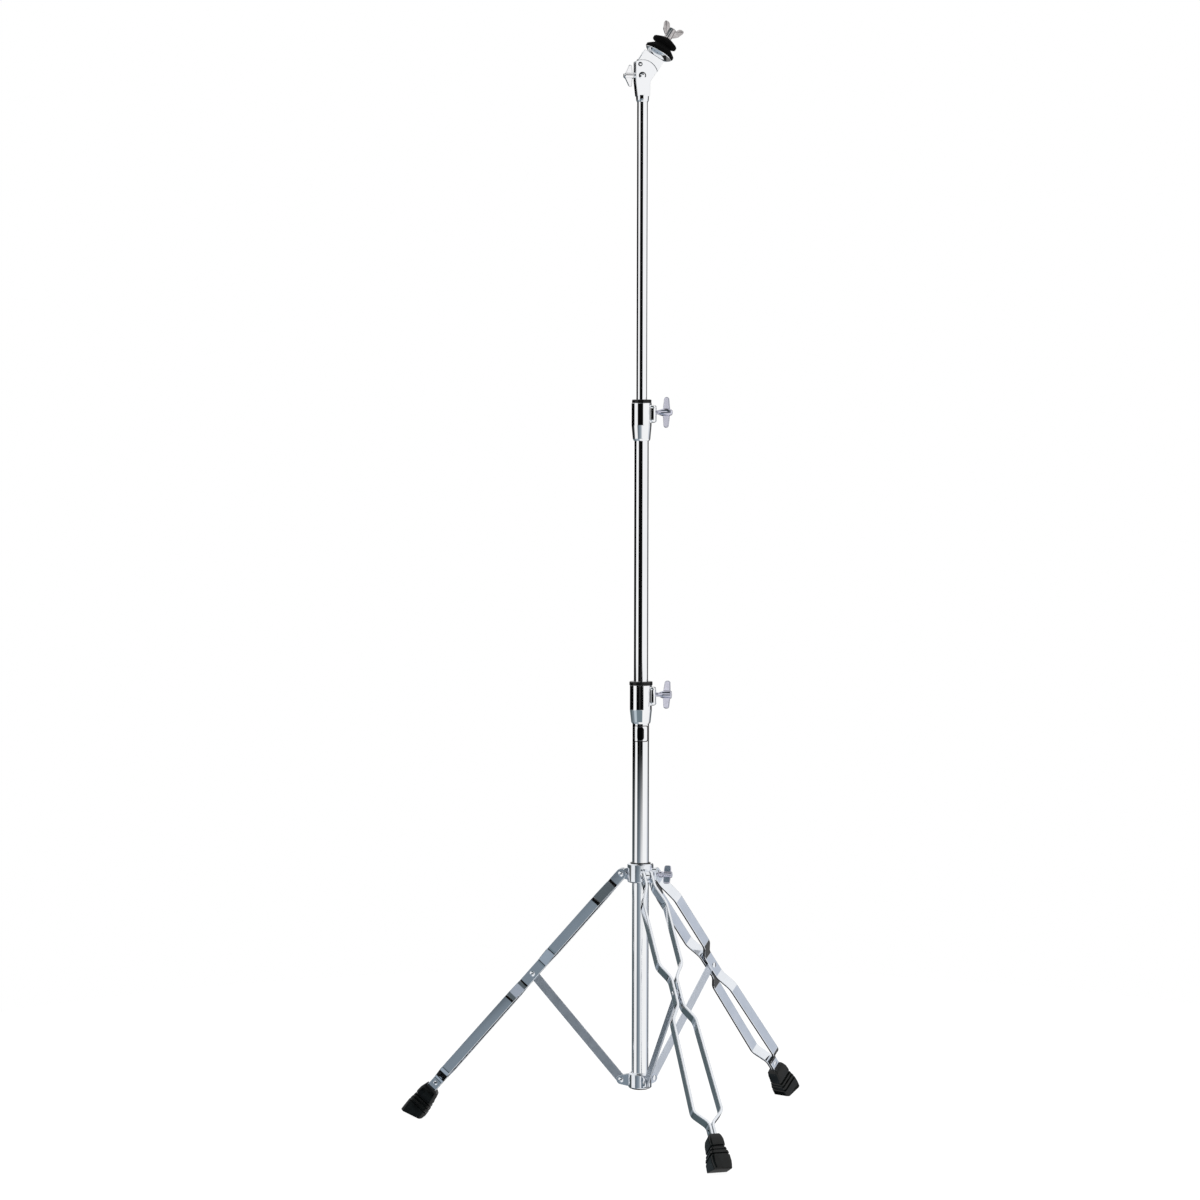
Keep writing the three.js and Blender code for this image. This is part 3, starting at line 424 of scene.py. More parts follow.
def carry(piece, node):  # gives a piece the finish, body and slot of the node it stands for
    if not piece.data.materials:
        piece.data.materials.append(finishOf[slotOf[node]])
    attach(piece, bodyOf[node])
    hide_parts(node)
    return piece


def carve(piece, tool, operation="DIFFERENCE"):
    takeUp(piece)
    modify(piece, "BOOLEAN", {"operation": operation, "object": tool})
    bpy.data.objects.remove(tool)
    return piece


def twin(piece):
    takeUp(piece)
    bpy.ops.object.duplicate(linked=False)
    return bpy.context.object


def shift(x, y, z):
    return Matrix.Translation(Vector((x, y, z)) * mm)


def turn(degrees, axis):
    return Matrix.Rotation(math.radians(degrees), 4, axis)


def tubeSkin(name, node, wall, edge):
    low, high = span(node)
    radius = (high.x - low.x) / 2
    return carry(soften(spun(name, oblong(radius - wall, radius, low.z, high.z), sides=192), edge), node)


tubes = {"edge": 0.4, "baseWall": 1.3, "midWall": 1.25, "upperWall": 1.2}
tubeSkin("baseTube", "base_tube", tubes["baseWall"], tubes["edge"])
tubeSkin("midTube", "mid_tube", tubes["midWall"], tubes["edge"])
tubeSkin("upperTube", "upper_tube", tubes["upperWall"], tubes["edge"])
baseRadius = span("base_tube")[1].x
midRadius = span("mid_tube")[1].x
upperRadius = span("upper_tube")[1].x


def label(look):  # part of a thin ring round the base tube, cut out by a plate with round corners
    low, high = span("blank_label")
    inner, outer = baseRadius + look["gap"], baseRadius + look["gap"] + look["thick"]
    ring = spun("labelPlate", oblong(inner, outer, low.z, high.z))
    half, tall = look["width"] / 2, (high.z - low.z) / 2
    window = plate("window", oblong(-half, half, -tall, tall), baseRadius * 2, look["corner"], steps=8)
    middle = (low + high) / 2
    settle(window, turn(90, "Z"), shift(baseRadius, 0, middle.z),
           turn(math.degrees(math.atan2(middle.y, middle.x)), "Z"))
    return carry(soften(carve(ring, window, "INTERSECT"), 0), "blank_label")


label({"gap": 0.1, "thick": 0.25, "width": 21.4, "corner": 2.5})


def sideBlock(look, start, end, height, steps):  # stands out towards X, with round corners
    half, tall, reach = look["bossWidth"] / 2, look["bossHeight"] / 2, end - start
    block = plate("boss", oblong(-half, half, -tall, tall), reach, look["corner"], steps=6)
    return settle(soften(block, look["bossEdge"], steps), turn(90, "Z"), shift(start + reach / 2, 0, height))


def clamp(name, node, look):
    low, high = span(node)
    inner = look["inner"] + look["gap"]
    outer = inner + look["wall"]
    foot = inner + look["footWall"]
    body = soften(spun(name, [
        (inner, low.z), (foot - look["lip"], low.z), (foot, low.z + 2 * look["lip"]),
        (outer, low.z + look["taper"]), (outer, high.z), (inner, high.z),
    ]), look["edge"], steps=4, angle=4.2)
    boss = sideBlock(look, inner + look["bossStart"], high.x, high.z - look["bossDrop"], steps=4)
    return carry(joined(name, body, boss), node)


clampForm = {"gap": 0.1, "lip": 1.3, "edge": 0.7, "bossStart": 0.4, "bossEdge": 4.6, "corner": 5}
clamp("lowerClamp", "lower_clamp", clampForm | {
    "inner": baseRadius, "wall": 4, "footWall": 2, "taper": 20.8,
    "bossWidth": 15, "bossHeight": 28, "bossDrop": 16.2,
})
clamp("upperClamp", "upper_clamp", clampForm | {
    "inner": midRadius, "wall": 4.25, "footWall": 2.35, "taper": 23.1,
    "bossWidth": 14, "bossHeight": 26.3, "bossDrop": 16,
})


def bushing(name, node, look):
    low, high = span(node)
    inner, seat, ring, edge = look["inner"] + look["gap"], high.z - look["ring"], high.x, look["edge"]
    piece = spun(name, [
        (inner, low.z), (look["sleeve"], low.z), (look["sleeve"], seat), (ring, seat),
        (ring, high.z - edge), (ring - edge, high.z), (inner, high.z),
    ])
    return carry(soften(piece, edge / 2), node)


bushing("lowerBushing", "lower_bushing", {
    "inner": midRadius, "gap": 0.1, "sleeve": baseRadius, "ring": 5.5, "edge": 0.9,
})
bushing("upperBushing", "upper_bushing", {
    "inner": upperRadius, "gap": 0.1, "sleeve": midRadius, "ring": 5.2, "edge": 0.9,
})


def blade(outline, thickness, corner):  # a wing with round corners and edges
    wing = plate("blade", outline, thickness, corner, steps=5)
    return soften(wing, thickness * bladeRounding, steps=4)


def wingBolt(name, node, look, finish):
    outline = [(0, look["start"]), (look["shank"], look["start"]), (look["shank"], look["knob"][0][1])]
    outline += [*look["knob"], (0, look["knob"][-1][1] + look["dome"])]
    knob = settle(soften(spun(name, outline, sides=48), look["edge"], angle=20), turn(90, "Y"))
    root, tip, reach = look["root"], look["tip"], look["reach"]
    blades = blade([
        (root[0], 0), (tip[0], reach), (tip[1], reach), (root[1], 0), (tip[1], -reach), (tip[0], -reach),
    ], look["thick"], look["corner"])
    bolt = joined(name, knob, blades)
    settle(bolt, turn(look["turn"], "X"), turn(look["facing"], "Z"), shift(*look["at"]))
    bolt.data.materials.append(finish)
    return carry(bolt, node)


facing = Vector(joints["tilter_bolt_turn"]["axis"])
tilterFacing = math.degrees(math.atan2(facing.y, facing.x))
boltForm = {"edge": 0.45, "shank": 3, "thick": 3.4, "facing": 0}
wings = {
    "lower": boltForm | {
        "at": spot("lower_bolt_turn"), "start": 14.4, "dome": 0.4, "corner": 3.2, "turn": -16,
        "knob": [(3, 26.4), (3.6, 28), (5.2, 31.4), (5.9, 34), (5.9, 45), (5.0, 46)],
        "root": (33, 44.6), "tip": (35, 43.2), "reach": 21,
    },
    "upper": boltForm | {
        "at": spot("upper_bolt_turn"), "start": 11.8, "dome": 0.2, "corner": 3.2, "turn": -6,
        "knob": [(2.8, 23.6), (4.2, 27), (5.4, 31), (5.8, 36), (5.4, 41), (4.3, 44.5), (2.5, 46.3)],
        "root": (31.5, 43), "tip": (33.5, 40.6), "reach": 22.8,
    },
    "collar": boltForm | {
        "at": spot("leg_collar_bolt_turn"), "start": 16.1, "dome": 0.3, "corner": 2.6, "turn": -25,
        "knob": [(3, 28), (4.6, 28.2), (4.6, 32.8), (3.7, 33.6), (4.6, 35.4), (4.6, 47), (3.8, 47.7)],
        "root": (34.6, 46.2), "tip": (35.4, 45), "reach": 14,
    },
    "tilter": boltForm | {
        "at": spot("tilter_bolt_turn"), "start": 9.4, "dome": 0.2, "corner": 1.6, "turn": 0,
        "shank": 2.5, "thick": 3.2, "facing": tilterFacing,
        "knob": [(2.5, 13.9), (4.4, 14.1), (4.5, 26.6), (3.4, 28.4)],
        "root": (15.2, 28.6), "tip": (16.4, 20.8), "reach": 16,
    },
}
wingBolt("lowerWingBolt", "lower_wing_bolt", wings["lower"], zinc)
wingBolt("upperWingBolt", "upper_wing_bolt", wings["upper"], zinc)
wingBolt("collarWingBolt", "leg_collar_wing_bolt", wings["collar"], zinc)
wingBolt("tilterWingBolt", "tilter_wing_bolt", wings["tilter"], paleZinc)
print("column ready")


lowPivot, midPivot = spot("strut_1_fold"), spot("leg_1_fold")
pivotOut = math.hypot(lowPivot.x, lowPivot.y)
linkOut = math.hypot(midPivot.x, midPivot.y) - pivotOut
linkRise = midPivot.z - lowPivot.z
link = math.hypot(linkOut, linkRise)
legSpread = math.degrees(math.atan2(linkOut, linkRise))
topPivotZ = lowPivot.z + 2 * linkRise
inStrut = [turn(legSpread, "Y"), shift(pivotOut, 0, lowPivot.z)]
inLeg = [turn(-legSpread, "Y"), shift(pivotOut, 0, topPivotZ)]  # down the leg is -Z, outwards is X
azimuths = [math.degrees(math.atan2(spot(f"strut_{n}_fold").y, spot(f"strut_{n}_fold").x)) for n in (1, 2, 3)]


def onLegs(piece, node):  # three copies, each turned to its leg
    name = piece.name
    copies = [piece, twin(piece), twin(piece)]
    for number, (copy, azimuth) in enumerate(zip(copies, azimuths), 1):
        copy.name = f"{name}{number}"
        carry(settle(copy, turn(azimuth, "Z")), node.format(number))


straps = {
    "width": 15.5, "thick": 4, "bend": 5, "edge": 0.7, "foot": 440, "intoFoot": 29.5,
    "top": 5.9, "pinch": 3.9, "end": 2.3, "upperBulge": 17.5, "lowerBulge": 17, "ankle": 21,
    # distances down the leg, or from the middle pivot, or up from the foot
    "straight": 21, "upperStart": 52, "upperEnd": 47.5, "pinchAbove": 24.5, "pinchBelow": 22.5,
    "lowerStart": 45.5, "ankleLift": 38, "pinchLift": 19,
    "cornerGap": 0.3, "margin": 0.5,  # between the round corners of an end, and kept clear of the ends
}


def strap(name, look, hand):
    foot, half = look["foot"], look["width"] / 2
    path = [
        (-half, look["top"]), (look["straight"], look["top"]),
        (look["upperStart"], look["upperBulge"]), (link - look["upperEnd"], look["upperBulge"]),
        (link - look["pinchAbove"], look["pinch"]), (link + look["pinchBelow"], look["pinch"]),
        (link + look["lowerStart"], look["lowerBulge"]), (foot - look["ankleLift"], look["ankle"]),
        (foot - look["pinchLift"], look["end"]), (foot + look["intoFoot"], look["end"]),
    ]
    piece = drawLine(name, [(-half, hand * away, -down) for down, away in path])
    bpy.ops.mesh.select_all(action="SELECT")
    bpy.ops.mesh.extrude_edges_move(TRANSFORM_OT_translate={"value": (2 * half * mm, 0, 0)})
    top, bottom = half - look["margin"], -foot - look["intoFoot"] + look["margin"]
    pick("EDGE", lambda point: abs(point.x) < look["margin"] and bottom < point.z < top)  # across, at bends
    bpy.ops.mesh.bevel(offset=look["bend"] * mm, segments=5, affect="EDGES")
    pick("VERT", lambda point: point.z > top)
    bpy.ops.mesh.bevel(offset=(half - look["cornerGap"]) * mm, segments=8, affect="VERTICES")
    leaveMesh()
    modify(piece, "SOLIDIFY", {"thickness": look["thick"] * mm, "offset": 0, "use_even_offset": True})
    return settle(soften(piece, look["edge"], angle=50), *inLeg)


onLegs(strap("strapA", straps, 1), "leg_{}_strap_a")
onLegs(strap("strapB", straps, -1), "leg_{}_strap_b")


def dome(head, rise, start):  # part of a ball, from its rim towards its top
    ball, steps = (head ** 2 + rise ** 2) / (2 * rise), 6
    slopes = [math.asin(head / ball) * step / steps for step in range(steps, 0, -1)]
    return [(ball * math.sin(slope), start + rise - ball * (1 - math.cos(slope))) for slope in slopes]


def cone(head, flat, start, rim=0.3, slope=0.67):  # a short rim and a slope up to a flat top
    return [(head, start), (head, start + rim), (flat, start + rim + (head - flat) * slope)]


def rivet(name, look, half, over):  # over: outline of the head, from its rim inwards
    shaft, top = look["shaft"], over[-1][1] + look["crown"]
    under = [(radius, -height) for radius, height in reversed(over)]
    piece = spun(name, [(0, -top), *under, (shaft, -half), (shaft, half), *over, (0, top)], sides=40)
    return settle(soften(piece, look["edge"], steps=2, angle=30), turn(-90, "X"))


rivets = {"shaft": 2.5, "head": 4.3, "rise": 1.55, "crown": 0.05, "edge": 0.25}
endRivets = rivets | {"shaft": 1.9, "head": 3.3, "rise": 0.5, "lift": 9}


def riveted(name, look, half):
    return rivet(name, look, half, dome(look["head"], look["rise"], half))


midPlace, endPlace = shift(0, 0, -link), shift(0, 0, endRivets["lift"] - straps["foot"])
onLegs(settle(riveted("strutRivet", rivets, 4.2), *inStrut), "strut_rivet_{}")
onLegs(settle(riveted("topRivet", rivets, 8.2), *inLeg), "leg_{}_pivot_rivet")
onLegs(settle(riveted("midRivet", rivets, 6.2), midPlace, *inLeg), "leg_{}_mid_rivet")
onLegs(settle(riveted("endRivet", endRivets, 4.6), endPlace, *inLeg), "leg_{}_end_rivet")


def strut(look):
    half = look["width"] / 2
    outline = oblong(-half, half, -half, link + half)
    piece = plate("strut", outline, look["thick"], half - look["cornerGap"], steps=8)
    return settle(soften(piece, look["edge"], angle=50), *inStrut)


bar = strut({"width": 13.5, "thick": 3, "edge": 0.5, "cornerGap": 0.2})
# the struts take the duller nickel, whose darker tone is painted shade
bar.data.materials.append(dullShadedNickel)
onLegs(bar, "strut_{}")


def foot(look):
    here = look["stations"][0]
    start, half, inner, outer = here
    top = straps["foot"] + start
    clearSelection()
    bpy.ops.mesh.primitive_plane_add(size=mm, location=(0, 0, 0))
    piece = bpy.context.object
    piece.name = "foot"
    bpy.ops.object.mode_set(mode="EDIT")
    bpy.ops.transform.resize(value=(outer - inner, 2 * half, 1))
    bpy.ops.transform.translate(value=Vector(((outer + inner) / 2, 0, -top)) * mm)
    bpy.ops.mesh.select_mode(type="VERT")
    bpy.ops.mesh.bevel(offset=look["corner"] * mm, segments=4, affect="VERTICES")
    bpy.ops.mesh.select_mode(type="FACE")
    bpy.ops.mesh.select_all(action="SELECT")
    for station in look["stations"][1:]:
        down, wide = station[0] - here[0], station[1] / here[1]
        deep = (station[3] - station[2]) / (here[3] - here[2])
        across = (station[3] + station[2] - here[3] - here[2]) / 2
        bpy.ops.mesh.extrude_region_move(TRANSFORM_OT_translate={"value": Vector((across, 0, -down)) * mm})
        bpy.ops.transform.resize(value=(deep, wide, 1))
        here = station
    toe, heel = (Vector((look[end][1], 0, -straps["foot"] - look[end][0])) for end in ("toe", "heel"))
    slope = (toe - heel).cross(Vector((0, 1, 0))).normalized()
    bpy.ops.mesh.select_all(action="SELECT")
    bpy.ops.mesh.bisect(plane_co=toe * mm, plane_no=slope, use_fill=True, clear_outer=slope.z < 0,
                        clear_inner=slope.z > 0)
    settle(piece, *inLeg)
    bpy.ops.object.mode_set(mode="EDIT")
    bpy.ops.mesh.select_all(action="SELECT")
    floor = (0, 0, span("foot_1")[0].z * mm)
    bpy.ops.mesh.bisect(plane_co=floor, plane_no=(0, 0, 1), use_fill=True, clear_inner=True)
    leaveMesh()
    return soften(piece, look["edge"], angle=24)


onLegs(foot({
    "corner": 2.6, "edge": 0.45,
    # distance down the foot, half width sideways, inner and outer face
    "stations": [
        (0, 7.9, -9.5, 10.2), (2.6, 9.8, -12.8, 11), (8.6, 11.1, -14.6, 12.7), (14.6, 11.2, -15.6, 13.1),
        (18.8, 11.1, -17.2, 13), (20, 9, -15.6, 10.6), (21.6, 9, -15.8, 10.6), (22.8, 11.8, -17.8, 12.6),
        (25, 12.4, -18.2, 12.8), (26, 10.9, -16.8, 11.4), (27, 10.9, -16.9, 11.4), (28, 13.3, -18.6, 13),
        (31.4, 14.1, -19.4, 13.4), (32.5, 11.9, -17.4, 11.4), (33.9, 11.9, -17.6, 11.4),
        (35, 14.4, -19.9, 13.6), (45, 15, -20.4, 13.1), (49, 14.4, -20.2, 12.9), (55, 13.4, -19.4, 12.6),
    ],
    "toe": (52.9, 1.0), "heel": (46.2, -18.8),
}), "foot_{}")
print("legs ready")


def ear(name, look, thickness):  # tapering plate with a round end at the pivot
    root, height, end = look["root"], look["height"], look["end"]
    arc = [math.radians(degrees) for degrees in range(-80, 81, 16)]
    outline = [(root, -height / 2)] + [(pivotOut + end * math.cos(a), end * math.sin(a)) for a in arc]
    return soften(plate(name, outline + [(root, height / 2)], thickness), look["edge"], angle=40)


def bandOf(name, node, inner, outer, rim):  # ring with slanted rims
    low, high = span(node)
    return soften(spun(name, [
        (inner, low.z), (outer - rim, low.z), (outer, low.z + rim), (outer, high.z - rim),
        (outer - rim, high.z), (inner, high.z),
    ]), rim / 3, angle=20)


def strutCollar(look):
    inner, outer = baseRadius + look["gap"], baseRadius + look["wall"]
    parts = [bandOf("strutCollar", "strut_collar", inner, outer, look["rim"])]
    fork = ear("fork", look, look["thick"])
    for azimuth in azimuths:
        for hand in (-1, 1):
            plateZ = shift(0, hand * look["apart"], lowPivot.z)
            parts.append(settle(twin(fork), plateZ, turn(azimuth, "Z")))
    bpy.data.objects.remove(fork)
    return carry(joined("strutCollar", *parts), "strut_collar")


strutCollar({
    "gap": 0.1, "wall": 4.9, "rim": 1.8, "root": 15.2, "height": 19, "end": 6.9, "edge": 0.45,
    "thick": 2, "apart": 2.9,
})


def legCollar(look):
    inner, outer = look["inner"], look["inner"] + look["wall"]
    parts = [bandOf("legCollar", "leg_collar", inner, outer, look["rim"])]
    lug = ear("ear", look, look["thick"])
    for azimuth in azimuths:
        parts.append(settle(twin(lug), shift(0, 0, topPivotZ), turn(azimuth, "Z")))
    bpy.data.objects.remove(lug)
    end, height = span("leg_collar")[1].x, wings["collar"]["at"].z
    parts.append(sideBlock(look, inner + look["bossStart"], end, height, steps=3))
    return carry(joined("legCollar", *parts), "leg_collar")


legCollar({
    "inner": 15, "wall": 4.5, "rim": 1.4, "root": 17.4, "height": 19, "end": 6.6, "edge": 0.8, "thick": 7,
    "bossStart": 0.5, "bossWidth": 13, "bossHeight": 19, "bossEdge": 0.8, "corner": 4,
})


def collarLiner(look):
    low, high = span("leg_collar_liner")
    inner = baseRadius + look["gap"]
    piece = spun("collarLiner", oblong(inner, high.x, low.z, high.z))
    return carry(soften(piece, look["edge"]), "leg_collar_liner")


collarLiner({"gap": 0.1, "edge": 0.4})
print("base ready")


pivot = spot("cymbal_tilt")
tilterTurn = tilterFacing - 180
rodAxis = Vector(joints["wing_nut_turn"]["axis"])
headTilt = math.degrees(math.atan2(math.hypot(rodAxis.x, rodAxis.y), rodAxis.z))
onHead = [turn(headTilt, "Y"), turn(tilterTurn, "Z"), shift(*pivot)]


def creasedChrome(name, look):  # chrome with painted shade: dark rings painted round the heads of the pin and the stud, standing for the dark reflections on their sloping rims
    material = bpy.data.materials.new(name)
    graph = Graph(material)
    x, y, z = graph.split(graph.place())
    turned = math.radians(tilterTurn)
    along = (x * math.cos(turned) + y * math.sin(turned)) * (1 / mm)
    side = (y * math.cos(turned) - x * math.sin(turned)) * (1 / mm)
    middle = pivot.x * math.cos(turned) + pivot.y * math.sin(turned)
    rings = []
    for at, up, radius, width, low, furthest in look["creases"]:
        beside, above = along - (middle + at), z * (1 / mm) - (pivot.z + up)
        away = abs((beside * beside + above * above).math("SQRT") - radius)
        ring = graph.spread(away, width / 2 + look["soft"], width / 2 - look["soft"])
        ring = ring * graph.spread(above, low, low + look["fade"])
        rings.append(ring * graph.spread(side, furthest + look["sharp"], furthest - look["sharp"]))
    # painted shade: the two rings that darken the chrome's base colour
    dark = rings[0] + rings[1]
    smears = graph.noise(look["smearSize"], detail=4, stretch=look["stretch"])
    graph.surface({
        "Base Color": graph.blend(dark, look["tone"], look["creaseTone"]), "Metallic": 1.0,
        "Roughness": look["roughness"] + smears * look["smear"] + dark * look["dull"],
    })
    return material


# chrome for the tilter, with painted shade round the heads of the pin and the stud
shadeRingChrome = creasedChrome("creasedChrome", polish | {
    "tone": (0.88, 0.89, 0.91, 1), "creaseTone": grey(0.02), "dull": 0.3,
    "soft": 0.2, "fade": 0.6, "sharp": 0.1,
    # painted shade rings, the pin's and the stud's: beside and above the pivot, radius, width, where the ring
    # starts above its middle, and how far it goes through from the front
    "creases": [(0, 0, 4.5, 1.9, -2.8, 99), (-3.2, 16.6, 2.5, 1.5, -9, -7.5)],
})


def slot(left, right, width, low, high):  # block that cuts an opening
    return plate("slot", oblong(left, right, low, high), width)


def tilterBase(look):
    backAngle = math.degrees(math.acos((-look["back"] - look["pivotX"]) / look["round"]))
    outline = [(look["foot"], 0), (look["front"], look["shoulder"])]
    steps = 16
    for step in range(steps + 1):
        a = math.radians(look["roundFrom"] + (backAngle - look["roundFrom"]) * step / steps)
        outline.append((look["pivotX"] + look["round"] * math.cos(a),
                        look["pivotZ"] + look["round"] * math.sin(a)))
    outline += [(-look["back"], look["shoulder"]), (-look["foot"], 0)]
    yoke = plate("tilterBase", outline, look["width"])
    far = look["round"] * 2
    carve(yoke, slot(look["web"] - look["back"], far, look["slot"], look["floor"], far + look["pivotZ"]))
    carve(yoke, slot(-far, far, look["slot"], look["webTop"], far + look["pivotZ"]))
    soften(yoke, look["edge"], steps=4, angle=25)
    neck = soften(spun("neck", look["neck"]), look["neckEdge"], steps=4, angle=15)
    boss = soften(spun("boss", look["boss"], sides=40), look["studEdge"], steps=2)
    settle(boss, turn(-90, "Y"), shift(-look["back"] + look["studEdge"], 0, look["pivotZ"]))
    stud = soften(spun("stud", look["stud"], sides=40), look["studEdge"], steps=2, angle=15)
    settle(stud, turn(90, "X"), shift(look["studX"], look["studEdge"] - look["width"] / 2, look["studZ"]))
    whole = joined("tilterBase", yoke, neck, boss, stud)
    # the tilter chrome, with painted shade round the stud's head
    whole.data.materials.append(shadeRingChrome)
    settle(whole, turn(tilterTurn, "Z"), shift(0, 0, pivot.z - look["pivotZ"]))
    return carry(whole, "tilter_base")


tilterBase({
    "foot": 9.6, "front": 10, "back": 12.1, "shoulder": 21.5, "width": 15, "slot": 10, "floor": 18,
    "round": 23.3, "roundFrom": 16, "pivotX": -2, "pivotZ": 30, "web": 1.5, "webTop": 34.5, "edge": 1.1,
    # outlines of radius and height
    "neck": [(8.3, -8), (8.7, -8), (9.5, -5.5), (9.7, -3), (9.7, 1.5), (0, 1.5), (0, 0.2), (8.3, 0.2)],
    "boss": [(2.8, 0), (4, 0), (4, 1.7), (2.8, 1.7)],
    "stud": [(0, 0), *cone(3.5, 1.7, 0), (0, 1.5)],
    "neckEdge": 0.4, "studX": -5.2, "studZ": 46.6, "studEdge": 0.3,
})
pin = rivet("tilterPin", {"shaft": 2.5, "edge": 0.2, "crown": 0}, 7.8, cone(5.4, 2.5, 7.8))
# the tilter chrome, with painted shade round the pin's head
pin.data.materials.append(shadeRingChrome)
carry(settle(pin, turn(tilterTurn, "Z"), shift(*pivot)), "tilter_pivot_pin")


def tiltHead(look):
    half, top, heel = look["half"], look["top"], look["heel"]
    outline = [(half, look["shoulder"]), (half, top), (-half, top), (-look["back"], look["shoulder"])]
    for degrees in range(144, 397, 12):  # round the heel
        outline.append((heel * math.cos(math.radians(degrees)), heel * math.sin(math.radians(degrees))))
    body = soften(plate("tilterHead", outline, look["width"]), look["edge"], steps=4, angle=25)
    ring = look["capRing"]  # the cap's lower edge runs round the fork
    reach = math.acos(half / ring)
    cap, steps = [(half, top), (-half, top)], 14
    for step in range(steps + 1):
        a = math.pi - reach - (math.pi - 2 * reach) * step / steps
        cap.append((ring * math.cos(a), ring * math.sin(a)))
    block = soften(plate("cap", cap, look["capWidth"]), look["capEdge"], steps=4, angle=25)
    return carry(settle(joined("tilterHead", body, block), *onHead), "tilter_head")


tiltHead({
    "half": 16.5, "back": 17.5, "shoulder": 17.5, "top": 35, "heel": 5.2, "width": 9.4, "edge": 0.6,
    "capRing": 23.7, "capWidth": 15.2, "capEdge": 0.35,
})

seat = {
    "offset": 5,
    "rod": [(0, 25), (4, 25), (4, 84.2), (3.2, 85), (0, 85)],
    "cup": [
        (4.3, 35.3), (10.4, 35.3), (15.5, 37.4), (19.2, 39.9), (21.1, 41.6), (21.1, 42.5), (18.8, 41),
        (15.2, 38.6), (10.2, 36.5), (4.3, 36.5),
    ],
    "sleeve": [(4.3, 36.8), (5.5, 36.8), (5.5, 66.4), (4.3, 66.4)],
    "lowerFelt": [
        (5.8, 37), (9.6, 37), (13.6, 38.8), (17.4, 41.2), (20.9, 43.3), (22.5, 43.6), (22.5, 47),
        (21, 48.4), (13, 54.6), (11.4, 55.2), (5.8, 55.2),
    ],
    "upperFelt": [
        (5.8, 55.6), (12, 55.6), (18.6, 57.7), (19, 58.6), (19, 61.6), (17.8, 62.9), (9, 66.9), (5.8, 67.2),
    ],
    "hub": [(4.3, 67.6), (5.5, 67.6), (5.9, 69.4), (5.5, 83), (4.9, 84.3), (4.3, 84.3)],
    "wing": [(3.8, 69.9), (12.6, 76.7), (17.2, 88), (13.8, 90.3), (8.6, 89.2), (3.8, 81.2)],
    "wingThick": 3.2, "wingCorner": 2.4,
    "rodEdge": 0.2, "cupEdge": 0.3, "sleeveEdge": 0.2, "feltEdge": 0.5, "hubEdge": 0.3,
}
onRod = [shift(seat["offset"], 0, 0), *onHead]
rod = soften(spun("cymbalRod", seat["rod"], sides=48), seat["rodEdge"], steps=2)
carry(settle(rod, *onRod), "cymbal_rod")
cup = soften(spun("seatCup", seat["cup"]), seat["cupEdge"], angle=40)
carry(settle(cup, *onRod), "seat_cup")
sleeve = soften(spun("cymbalSleeve", seat["sleeve"], sides=48), seat["sleeveEdge"], steps=2)
carry(settle(sleeve, *onRod), "cymbal_sleeve")
for name, node in (("lowerFelt", "lower_felt"), ("upperFelt", "upper_felt")):
    disc = soften(spun(name, seat[name]), seat["feltEdge"], steps=4, angle=18)
    carry(settle(disc, *onRod), node)


def wingNut(look):
    parts = [soften(spun("wingNut", look["hub"], sides=48), look["hubEdge"], angle=30)]
    for hand in (-1, 1):
        outline = [(hand * x, z) for x, z in look["wing"]]
        parts.append(blade(outline, look["wingThick"], look["wingCorner"]))
    nut = settle(joined("wingNut", *parts), *onRod)
    nut.data.materials.append(darkZinc)
    return carry(nut, "wing_nut")


wingNut(seat)
print("tilter ready")


